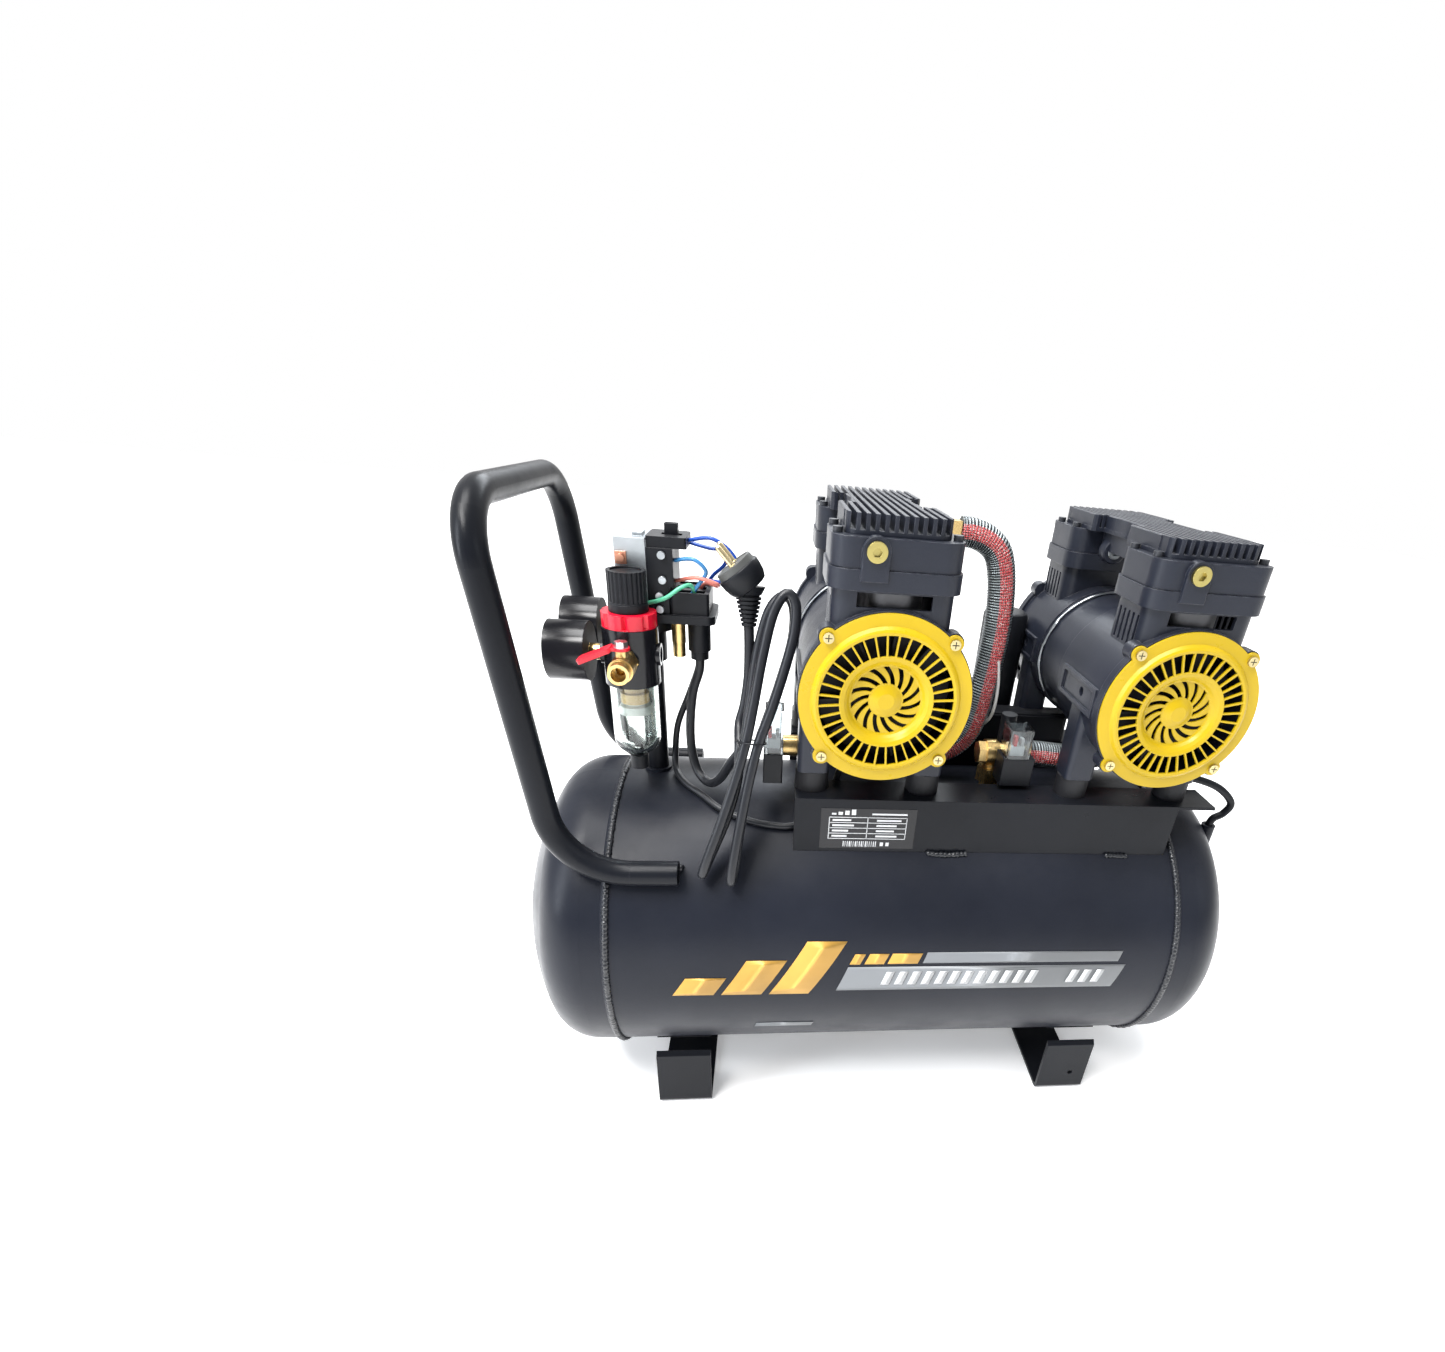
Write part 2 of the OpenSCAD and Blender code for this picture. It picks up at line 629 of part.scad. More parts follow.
module gauge_cases() {
    for (g = gauge_spots) translate([0, g[0], g[1]]) {
        color("#121315") difference() {
            along_x(gauge_face, 0, 0) cylinder(r = gauge_r, h = gauge_back - gauge_face);
            along_x(gauge_face - 1, 0, 0) cylinder(r = gauge_r - 1.5, h = gauge_back - gauge_face - 1);
            along_x(gauge_back - 4, 0, 0) cylinder(r = 2, h = 6);
        }
        color("white") along_x(gauge_face + 7.5, 0, 0) ring(gauge_r - 1.5, 2, 1);
    }
    // Threaded stems
    color("#b99445") {
        along_x(gauge_back, reg_y, port_z) ring(7, 2, reg_x - 24.5 - gauge_back);
        difference() {
            along_x(gauge_back, post_y + 8, port_z + 7) ring(6.5, 2, 40);
            translate([post_x, post_y, port_z - 19]) cylinder(r = 14, h = 40);
        }
    }
}
module gauge_lenses() {
    color("#e6eef0") for (g = gauge_spots) along_x(gauge_face + 1, g[0], g[1])
        cylinder(r = gauge_r - 1.5, h = 1.5);
}
// The needle's pivot runs through the dial; its point rests at the low end of the scale
module gauge_needle(g) {
    translate([0, g[0], g[1]]) {
        along_x(gauge_face + 5, 0, 0) cylinder(r = 1.95, h = 6);
        along_x(gauge_face + 4, 0, 0) cylinder(r = 3.2, h = 2);
        rotate([45, 0, 0]) box([gauge_face + 4.4, gauge_face + 5.4], [-0.8, 0.8], [-18, 6]);
    }
}
module gauge_needle_front() { color("#c01818") gauge_needle(gauge_spots[0]); }
module gauge_needle_rear() { color("#c01818") gauge_needle(gauge_spots[1]); }

module outlet_valve_body() {
    color("#b99445") difference() {
        union() {
            along_y(reg_x, reg_y - 33, port_z) cylinder(r = 6.5, h = 18.5);
            along_y(reg_x, reg_y - 30.5, port_z) cylinder(r = 10.5, h = 6, $fn = 6);
            along_y(reg_x, reg_y - 50, port_z) cylinder(r = 9.8, h = 20);
            along_y(reg_x, reg_y - 59, port_z) cylinder(r = 8.4, h = 12);
            translate([reg_x, valve_pin_y, port_z]) cylinder(r = 5, h = 14);
        }
        along_y(reg_x, reg_y - 58.5, port_z) cylinder(r = 4, h = 50);
        along_y(reg_x, reg_y - 60, port_z) cylinder(r = outlet_r, h = 12);
        translate([reg_x, valve_pin_y, port_z]) sphere(r = 6.8);
        translate([reg_x, valve_pin_y, port_z]) cylinder(r = 3.05, h = 20);
    }
}
// Ball, spindle, lever and its nut turn together
module outlet_valve_lever() {
    color("#e5173a") translate([reg_x, valve_pin_y, 0]) {
        difference() {
            translate([0, 0, port_z]) sphere(r = 6.4);
            along_x(-10, 0, port_z) cylinder(r = 4, h = 20);
        }
        difference() {
            translate([0, 0, port_z + 5]) cylinder(r = 3, h = 12.5);
            along_x(-10, 0, port_z) cylinder(r = 4, h = 20);
        }
        translate([0, 0, port_z + 14.5]) cylinder(r = 6.5, h = 2.4);
        box([-9, 0], [-5, 5], [port_z + 14.5, port_z + 16.9]);
        difference() {
            translate([-8.6, 0, port_z + 16.9]) rotate([0, -24, 0]) translate([0, 0, -3.2])
                block([-28, 1.2], [-7.5, 7.5], [0, 3.6], 3);
            box([-7.5, 10], [-8, 8], [port_z, port_z + 30]);
        }
        translate([0, 0, port_z + 16.9]) cylinder(r = 5.2, h = 4.6, $fn = 6);
    }
}

// ---- pressure switch ----

module switch_base() {
    color("#1a1b1d") {
        difference() {
            union() {
                translate([post_x, post_y, port_z + 11.3]) cylinder(r = 22, h = 12);
                block([-266, -181], [-24, 32], [port_z + 23, port_z + 30], 8);
                block([-219, -186], [-20, 28], [port_z + 30, port_z + 49], 3);
                translate([-196, -8, port_z - 3]) cylinder(r = 10, h = 27);
                translate([-197, 18, port_z + 4]) cylinder(r = 8, h = 20);
            }
            for (y = [-13, 4, 21]) box([-215, -190], [y - 5, y + 5], [port_z + 40, port_z + 50]);
            along_x(gauge_back, post_y + 8, port_z + 7) cylinder(r = 7, h = 60);
            translate([reg_x, reg_y, port_z]) cylinder(r = 23.3, h = 60);
            translate([-196, -8, port_z - 4]) cylinder(r = 4.6, h = 20);
            translate([-197, 18, port_z + 3]) cylinder(r = 3.4, h = 12);
        }
        // Cable gland nut below the large boss
        translate([-196, -8, port_z - 11]) ring(8, 4.6, 7.9);
    }
}
module switch_frame() {
    color("#c3c6c8") {
        difference() {
            box([-262, -237], [-20, 28], [port_z + 30, port_z + 91]);
            box([-263, -236], [-18.4, 26.4], [port_z + 29, port_z + 89.4]);
            translate([reg_x, reg_y, port_z]) cylinder(r = 23.3, h = 36.3);
        }
        box([-248, -240], [-10, 4], [port_z + 91, port_z + 94]);
        box([-261, -252], [-22.4, -20], [port_z + 70, port_z + 80]);
        along_y(-256.5, -25, port_z + 75) cylinder(r = 3.4, h = 2.6);
        // Terminal screws
        for (z = [45.5, 34.5]) along_y(-227, -23.2, port_z + z) cylinder(r = 3.2, h = 3.2);
        for (z = [79, 59]) along_y(-224, -23.2, port_z + z) cylinder(r = 3.2, h = 3.2);
    }
}
module terminal_block() {
    color("#1a1b1d") difference() {
        union() {
            box([-236.7, -215], [-20, 24], [port_z + 53, port_z + 84]);
            box([-236.7, -219.3], [-20, 24], [port_z + 30, port_z + 53]);
            block([-236.7, -204], [-18, 22], [port_z + 84, port_z + 93], 2);
        }
        box([-226, -209], [-5, 5], [port_z + 82, port_z + 94]);
        along_y(-217.5, -12, port_z + 88) cylinder(r = 1.85, h = 24);
    }
}
module switch_lever() {
    color("#141517") {
        difference() {
            box([-223, -212], [-4, 4], [port_z + 85.5, port_z + 102]);
            box([-225, -210], [-2, 2], [port_z + 99, port_z + 103]);
        }
        along_y(-217.5, -11, port_z + 88) cylinder(r = 1.8, h = 22);
    }
}
wire_routes = [
    [[-214.5, -12, 547], [-198, -20, 550], [-188, -20, 541], [-194, -16, 530], [-203, -13, 517]],
    [[-214.5, -6, 529], [-196, -18, 535], [-180, -18, 531], [-180, -8, 527], [-190, 0, 527], [-198,
        4, 518]],
    [[-239, -24, 512], [-222, -26, 518], [-209, -24, 527], [-201, -17, 528], [-198, -13, 518]],
    [[-203.5, 0, 562], [-184, -8, 566], [-168, -8, 556], [-162, -8, 542], [-175, -2, 530], [-188, 4, 528],
        [-197, 6, 518]],
    [[-203.5, 8, 559], [-186, 4, 556], [-172, 2, 556], [-174, 8, 543], [-185, 17, 531], [-194, 21, 518]]];
module switch_wires() {
    color("#2a6fb0") for (w = wire_routes) tube(route(w, 3), 1.7, [0, 1, 0.2], 8);
}
module safety_valve_body() {
    color("#b99445") difference() {
        union() {
            along_y(post_x, post_y + 10, port_z - 3) cylinder(r = 5, h = 6);
            along_y(post_x, post_y + 14.3, port_z - 3) cylinder(r = 9, h = 8, $fn = 6);
            along_y(post_x, post_y + 22, port_z - 3) cylinder(r = 6.5, h = 20);
        }
        along_y(post_x, post_y + 9, port_z - 3) cylinder(r = 2.05, h = 60);
    }
}
module safety_valve_ring() {
    color("#c3c6c8") {
        along_y(post_x, post_y + 24, port_z - 3) cylinder(r = 2, h = 26);
        along_y(post_x, post_y + 42.3, port_z - 3) cylinder(r = 4, h = 6);
        translate([post_x, post_y + 58.6, port_z - 3]) rotate_extrude() translate([9, 0]) circle(r = 1.2);
    }
}

// ---- valves and hoses between the pumps ----

module solenoid_bodies() {
    color("#b99445") {
        difference() {
            union() {
                along_x(72, valve_y, valve_z) cylinder(r = 11.5, h = 8, $fn = 6);
                along_x(79.5, valve_y, valve_z) cylinder(r = 13, h = 28.5);
                translate([valve_x[1], valve_y, valve_z - 50]) cylinder(r = 8, h = 45);
                translate([valve_x[1], valve_y, valve_z - 30]) cylinder(r = 13, h = 15, $fn = 6);
            }
            along_x(84, valve_y, valve_z) cylinder(r = 6, h = 30);
        }
        difference() {
            union() {
                along_x(-119, valve_y, valve_z) cylinder(r = 10, h = 59.8);
                translate([valve_x[0], valve_y, valve_z - 50]) cylinder(r = 8, h = 45);
                translate([valve_x[0], valve_y, valve_z - 30]) cylinder(r = 13, h = 15, $fn = 6);
            }
            along_x(-116, valve_y, valve_z) cylinder(r = 5, h = 60);
        }
    }
}
module solenoid_coils() {
    color("#131416") {
        block([87, 118], [-67, -43.3], [deck_z + 5, deck_z + 32.5], 1.5);
        translate([98, valve_y, valve_z + 13]) cylinder(r = 7.5, h = 28);
        block([-137, -119.3], [-66, -42], [deck_z + 0.5, deck_z + 29], 1.5);
        along_x(-134, valve_y, valve_z) cylinder(r = 8, h = 14.7);
    }
}
module solenoid_caps() {
    color("#d9dee2") {
        difference() {
            block([89, 112], [-66.5, -44], [deck_z + 32.8, deck_z + 62], 1.5);
            block([90.8, 110.2], [-64.7, -45.8], [deck_z + 31, deck_z + 60.2], 1);
        }
        difference() {
            block([-136, -119.3], [-65, -43], [deck_z + 29.3, deck_z + 71], 1.5);
            block([-134, -121.3], [-63, -45], [deck_z + 28, deck_z + 69], 1);
        }
    }
}
left_hose_route = [[30, 0, 586], [42, 0, 585.5], [55, 0, 581.5], [67, 0, 572], [74, 0, 555],
    [78, -1, 530], [79, -2, 500], [77, -4, 470], [74.5, -5, 445], [72.5, -3, 420], [68, -1, 400],
    [59, -1, 386], [43, -3, 376.5], [20, -8, 373], [-10, -16, 374], [-34, -26, 382], [-46, -29.6, 387],
    [-52, -30, 388], [-55.5, -30, 388], [-58.5, -30, 388]];
right_hose_route = [[118, -30, 388], [122, -30, 388], [134, -30, 388], [165, -28, 385], [200, -18, 383],
    [250, 2, 384], [286, 8, 398], [303, 6, 430], [309, 2, 480], [308, 0, 530], [304, 0, 560],
    [294, 0, 578], [284.5, 0, 585.2], [280, 0, 586], [277, 0, 586], [274.2, 0, 586]];
hose_r = 13;
module left_hose() { color("#a8acb0") tube(route(left_hose_route, 3), hose_r, [0, 1, 0], 12); }
module right_hose() { color("#a8acb0") tube(route(right_hose_route, 3), hose_r, [0, 1, 0], 12); }
module hose_fittings() {
    color("#a08a50") {
        // Square blocks that screw into the head covers
        for (p = [[left_pump_x, 29.5], [right_pump_x, 273.5]])
            translate([0, hose_y, shaft_z + hose_z]) difference() {
            box([p[0] + 41.2, p[1]], [-9.5, 9.5], [-9.5, 9.5]);
            along_x(p[0], 0, 0) cylinder(r = 4.5, h = 100);
        }
        along_x(108.2, valve_y, valve_z) ring(10, 6, 9.5);
        // Unloader fitting below the pressure switch
        translate([-213, -16, port_z - 7]) ring(5.5, 2, 12);
        translate([-213, -16, port_z + 5.2]) ring(6, 2, 17.6);
    }
}
motor_cable_route = [[-197, 18, 476], [-199, 17, 450], [-209, 14, 420], [-221, 14, 388], [-224, 9, 362],
    [-222, -5, 347], [-212, -26, 343.5], [-194, -44, 339.5], [-176, -60, 334], [-154, -70, 329.5],
    [-132, -75, 326.5], [-108, -76, 326.5], [-88, -67, 333], [-73, -52, 349], [-65, -49, 374],
    [-61, -50, 403]];
module motor_cable() { color("#1c1d1f") tube(route(motor_cable_route, 3), 3.2, [1, 0, 0], 8); }
balance_route = [[286, -40, 372], [306, -42, 371], [334, -44, 362], [354, -44, 345], [350, -44, 332],
    [340, -44, 325], [338, -44, 314]];
module balance_tube() { color("#15171b") tube(route(balance_route, 4), 4, [0, 1, 0], 8); }

// ---- mains lead ----

cord_r = 4.5;
hank_low = [-176, -125, 293];
hank_len = 264;
hank_w = 36;
hank_t = 22;
// The hank leans on the left pump: its tilt to the right, then its tilt to the back
hank_right = 13;
hank_back = 15.6;
cord_route = [[-196, -8, 461.5], [-197, -8, 450], [-203, -10, 430], [-206, -14, 400], [-205, -18, 375],
    [-199, -26, 356], [-188, -38, 350], [-177, -54, 362], [-166, -69, 386], [-159, -76, 404]];
module mains_cord() {
    color("#1c1d1f") {
        tube(route(cord_route, 3), cord_r, [0, 1, 0], 10);
        tube(route(plug_lead_route, 3), cord_r, [0, 1, 0], 10);
    }
}
plug_lead_route = [[-151, -51.2, 505], [-151, -54, 480], [-152, -60, 455], [-155, -66, 430], [-158,
    -70, 412]];
module cord_hank() {
    color("#1c1d1f") translate(hank_low) rotate([-hank_back, 0, 0]) rotate([0, hank_right, 0])
        translate([0, hank_t / 2, hank_len / 2]) rotate([90, 0, 0])
        linear_extrude(hank_t) pad2(hank_w, hank_len, hank_w / 2 - 0.5);
}
plug_at = [-158, -46, 546];
module mains_plug() {
    color("#1a1b1d") {
        // Head, cord strain relief and the two pins, leaning to the left
        translate(plug_at) rotate([0, -40, 0]) {
            translate([0, 0, -12]) cylinder(r1 = 15, r2 = 18.5, h = 14);
            translate([0, 0, 2]) cylinder(r = 18.5, h = 8);
        }
        translate(plug_at) rotate([0, -40, 0]) for (y = [-9.5, 9.5]) translate([0, y, 10])
            cylinder(r = 2.4, h = 19);
        difference() {
            translate([-151, -51, 506]) rotate([-8, -11, 0]) cylinder(r1 = 6.5, r2 = 11, h = 36);
            translate(plug_at) rotate([0, -40, 0]) translate([0, 0, -12]) cylinder(r = 30, h = 60);
        }
    }
}

// ---- drain below the tank ----

module drain_cock_body() {
    color("#b99445") difference() {
        union() {
            translate([0, 0, 26]) cylinder(r = 6.5, h = 20);
            translate([0, 0, 24]) cylinder(r = 9, h = 12, $fn = 6);
            along_y(0, -18, 30) cylinder(r = 4, h = 14);
        }
        translate([0, 0, 22]) cylinder(r = 3.05, h = 14);
        along_y(0, -19, 30) cylinder(r = 2, h = 15);
        translate([0, 0, 35]) cylinder(r = 2, h = 12);
    }
}
module drain_cock_screw() {
    color("#b99445") {
        translate([0, 0, 14]) cylinder(r = 3, h = 18);
        box([-13, 13], [-1.6, 1.6], [10, 20]);
    }
}

// ---- choice of what is drawn ----

tank_shell();
tank_dome_left();
tank_dome_right();
foot_left();
foot_right();
handle_tube();
saddle_rail_front();
saddle_rail_rear();
manifold_post();
regulator_body();
regulator_ring();
regulator_knob();
filter_bowl();
filter_insert();
bowl_drain();
gauge_cases();
gauge_lenses();
gauge_needle_front();
gauge_needle_rear();
outlet_valve_body();
outlet_valve_lever();
switch_base();
switch_frame();
terminal_block();
switch_lever();
switch_wires();
safety_valve_body();
safety_valve_ring();
solenoid_bodies();
solenoid_coils();
solenoid_caps();
left_hose();
right_hose();
hose_fittings();
motor_cable();
balance_tube();
mains_cord();
cord_hank();
mains_plug();
drain_cock_body();
drain_cock_screw();
left_crankcases();
right_crankcases();
left_stator();
right_stator();
left_heads();
right_heads();
left_head_cover();
right_head_cover();
left_fan_covers();
right_fan_covers();
left_rotor();
right_rotor();
left_piston_front();
left_piston_rear();
right_piston_front();
right_piston_rear();
cylinder_liners();
pump_fasteners();
rubber_mounts();
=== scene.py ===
"""Air compressor: materials, cords, prints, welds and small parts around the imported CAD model."""
import math
import random

import bpy
from mathutils import Matrix, Vector


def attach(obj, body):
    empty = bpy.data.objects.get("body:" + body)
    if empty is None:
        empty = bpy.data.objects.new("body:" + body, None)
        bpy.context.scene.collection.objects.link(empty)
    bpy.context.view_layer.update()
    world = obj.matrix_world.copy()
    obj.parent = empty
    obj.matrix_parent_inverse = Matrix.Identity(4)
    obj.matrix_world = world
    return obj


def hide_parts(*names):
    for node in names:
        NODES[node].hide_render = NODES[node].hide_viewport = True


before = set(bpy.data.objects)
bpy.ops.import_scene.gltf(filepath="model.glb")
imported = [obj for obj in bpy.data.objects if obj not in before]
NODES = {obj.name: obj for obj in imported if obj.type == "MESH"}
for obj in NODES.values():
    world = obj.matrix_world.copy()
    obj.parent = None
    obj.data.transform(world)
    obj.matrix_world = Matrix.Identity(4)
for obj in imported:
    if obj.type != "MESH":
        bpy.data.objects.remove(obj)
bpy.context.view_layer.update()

random.seed(7)
ROOT = "compressor"
MM = 0.001

# Places shared with the CAD model, in millimetres
PUMPS = {"left": -40.5, "right": 211.0}
SHAFT_Z = 469.5
TANK_Z, TANK_R = 192, 150
RAIL_FACE = -93.0

# Diameters of the cords, in metres
MAINS_D, MOTOR_D, BALANCE_D, WIRE_D, PALE_D = 0.0086, 0.0064, 0.008, 0.0034, 0.0032

# ---------------------------------------------------------------- camera


def make_camera():
    """The photo's point of view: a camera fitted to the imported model."""
    place = Vector((-132.8, -632.1, 660.85)) * MM
    yaw, pitch, roll = 0.16, -0.50, 0.10
    forward = Vector((math.sin(yaw) * math.cos(pitch), math.cos(yaw) * math.cos(pitch), math.sin(pitch)))
    level = Vector((math.cos(yaw), -math.sin(yaw), 0))
    upright = level.cross(forward)
    right = math.cos(roll) * level + math.sin(roll) * upright
    up = math.cos(roll) * upright - math.sin(roll) * level
    data = bpy.data.cameras.new("camera")
    data.sensor_width, data.lens = 36, 17.135
    data.shift_x, data.shift_y = -0.0979, 0.0874
    data.clip_start, data.clip_end = 0.02, 50
    camera = bpy.data.objects.new("camera", data)
    bpy.context.collection.objects.link(camera)
    turn = Matrix((right, up, -forward)).transposed().to_4x4()
    camera.matrix_world = Matrix.Translation(place) @ turn
    bpy.context.scene.camera = camera


make_camera()

# ---------------------------------------------------------------- materials


class Shader:
    """A Principled material, with helpers that add its texture nodes. All lengths are metres."""

    def __init__(self, name, color=(0.5, 0.5, 0.5), rough=0.5, metal=0.0, **fixed):
        self.mat = bpy.data.materials.new(name)
        self.mat.use_nodes = True
        self.tree = self.mat.node_tree
        self.bsdf = self.tree.nodes["Principled BSDF"]
        self.set("Base Color", (*color, 1))
        self.set("Roughness", rough)
        self.set("Metallic", metal)
        for key, value in fixed.items():
            self.set(key.replace("_", " "), value)
        self.place = self.add("ShaderNodeTexCoord").outputs["Object"]

    def set(self, socket, value):
        if isinstance(value, bpy.types.NodeSocket):
            self.tree.links.new(value, self.bsdf.inputs[socket])
        else:
            self.bsdf.inputs[socket].default_value = value

    def add(self, kind, inputs=None, **settings):
        node = self.tree.nodes.new(kind)
        for key, value in settings.items():
            setattr(node, key, value)
        for key, value in (inputs or {}).items():
            if isinstance(value, bpy.types.NodeSocket):
                self.tree.links.new(value, node.inputs[key])
            else:
                node.inputs[key].default_value = value
        return node

    def noise(self, scale, detail=3.0, rough=0.55, vector=None):
        wiring = {"Vector": vector or self.place, "Scale": scale, "Detail": detail, "Roughness": rough}
        return self.add("ShaderNodeTexNoise", wiring).outputs[0]

    def stretched(self, x, y, z):
        wiring = {"Vector": self.place, "Scale": (x, y, z)}
        return self.add("ShaderNodeMapping", wiring).outputs[0]

    def span(self, value, low, high, to_low=0.0, to_high=1.0):
        wiring = {"Value": value, "From Min": low, "From Max": high, "To Min": to_low, "To Max": to_high}
        return self.add("ShaderNodeMapRange", wiring).outputs[0]

    def math(self, operation, a, b=0.0):
        return self.add("ShaderNodeMath", {0: a, 1: b}, operation=operation).outputs[0]

    def mix(self, share, a, b):
        wiring = {"Factor": share}
        node = self.add("ShaderNodeMix", wiring, data_type="RGBA")
        for index, value in ((6, a), (7, b)):
            if isinstance(value, bpy.types.NodeSocket):
                self.tree.links.new(value, node.inputs[index])
            else:
                node.inputs[index].default_value = (*value, 1)
        return node.outputs[2]

    def blend(self, share, a, b):
        """Numbers a and b mixed by share."""
        return self.math("ADD", self.math("MULTIPLY", share, b),
                         self.math("MULTIPLY", self.math("SUBTRACT", 1.0, share), a))

    def bump(self, height, depth, under=None):
        wiring = {"Height": height, "Distance": depth, "Strength": 1.0}
        if under is not None:
            wiring["Normal"] = under
        return self.add("ShaderNodeBump", wiring).outputs[0]

    def soft_edge(self, radius):
        """A normal that rounds sharp edges, and a mask of those edges."""
        bevel = self.add("ShaderNodeBevel", {"Radius": radius}, samples=4).outputs[0]
        flat = self.add("ShaderNodeNewGeometry").outputs["Normal"]
        product = self.add("ShaderNodeVectorMath", {0: bevel, 1: flat}, operation="DOT_PRODUCT")
        return bevel, self.span(product.outputs["Value"], 0.995, 0.86)


def scaled(color, k):
    return tuple(min(1.0, c * k) for c in color)


def coating(name, color, rough, metal=0.0, grain=0.00005, grain_scale=900, shift=0.16, edge=0.0007, wear=0.0,
            wear_color=(0.3, 0.3, 0.31), dust=0.0, **fixed):
    """Paint or moulded plastic: uneven tone and gloss, fine grain, rounded and slightly worn edges, dust."""
    s = Shader(name, color, rough, metal, **fixed)
    broad, fine = s.noise(7.0, 4), s.noise(grain_scale, 2)
    tone = s.mix(s.span(broad, 0.3, 0.7), scaled(color, 1 - shift), scaled(color, 1 + shift))
    rounded, mask = s.soft_edge(edge)
    if wear:
        patchy = s.math("MULTIPLY", mask, s.span(s.noise(160, 4), 0.42, 0.62, 0.0, wear))
        tone = s.mix(patchy, tone, wear_color)
    if dust:
        up = s.add("ShaderNodeSeparateXYZ", {0: s.add("ShaderNodeNewGeometry").outputs["Normal"]}).outputs[2]
        level = s.span(up, 0.55, 1.0)
        settled = s.math("MULTIPLY", level, s.span(s.noise(45, 6, 0.7), 0.35, 0.75, 0.0, dust))
        tone = s.mix(settled, tone, (0.32, 0.31, 0.30))
    s.set("Base Color", tone)
    smudge = s.math("ADD", s.span(s.noise(26, 5, 0.65), 0.3, 0.7, -0.05, 0.07), rough)
    s.set("Roughness", smudge)
    s.set("Normal", s.bump(fine, grain, rounded))
    return s.mat


def brushed(name, color, rough, along, tarnish=(0.2, 0.12, 0.05), aged=0.25, edge=0.0004):
    """Machined or brushed metal: fine lines across the axes marked in `along`, darker tarnish in patches."""
    s = Shader(name, color, rough, 1.0)
    lines = s.noise(1.0, 3, 0.6, s.stretched(*[5200 if a else 160 for a in along]))
    stain = s.span(s.noise(95, 5, 0.7), 0.5, 0.75, 0.0, aged)
    fresh = s.mix(s.span(lines, 0.3, 0.7), scaled(color, 0.86), scaled(color, 1.1))
    s.set("Base Color", s.mix(stain, fresh, tarnish))
    s.set("Roughness", s.math("ADD", s.span(lines, 0.3, 0.7, -0.06, 0.09), rough))
    s.set("Normal", s.bump(lines, 0.00003, s.soft_edge(edge)[0]))
    return s.mat


def clear(name, color, rough=0.06, haze=0.10):
    """Clear moulded plastic with faint scratches and a little haze."""
    s = Shader(name, color, rough, Transmission_Weight=1.0, IOR=1.45)
    scratches = s.noise(1.0, 4, 0.7, s.stretched(900, 900, 90))
    s.set("Roughness", s.span(scratches, 0.45, 0.75, rough, rough + haze))
    s.set("Base Color", s.mix(s.noise(60), scaled(color, 0.93), color))
    s.set("Normal", s.bump(s.noise(240, 2), 0.00004))
    return s.mat


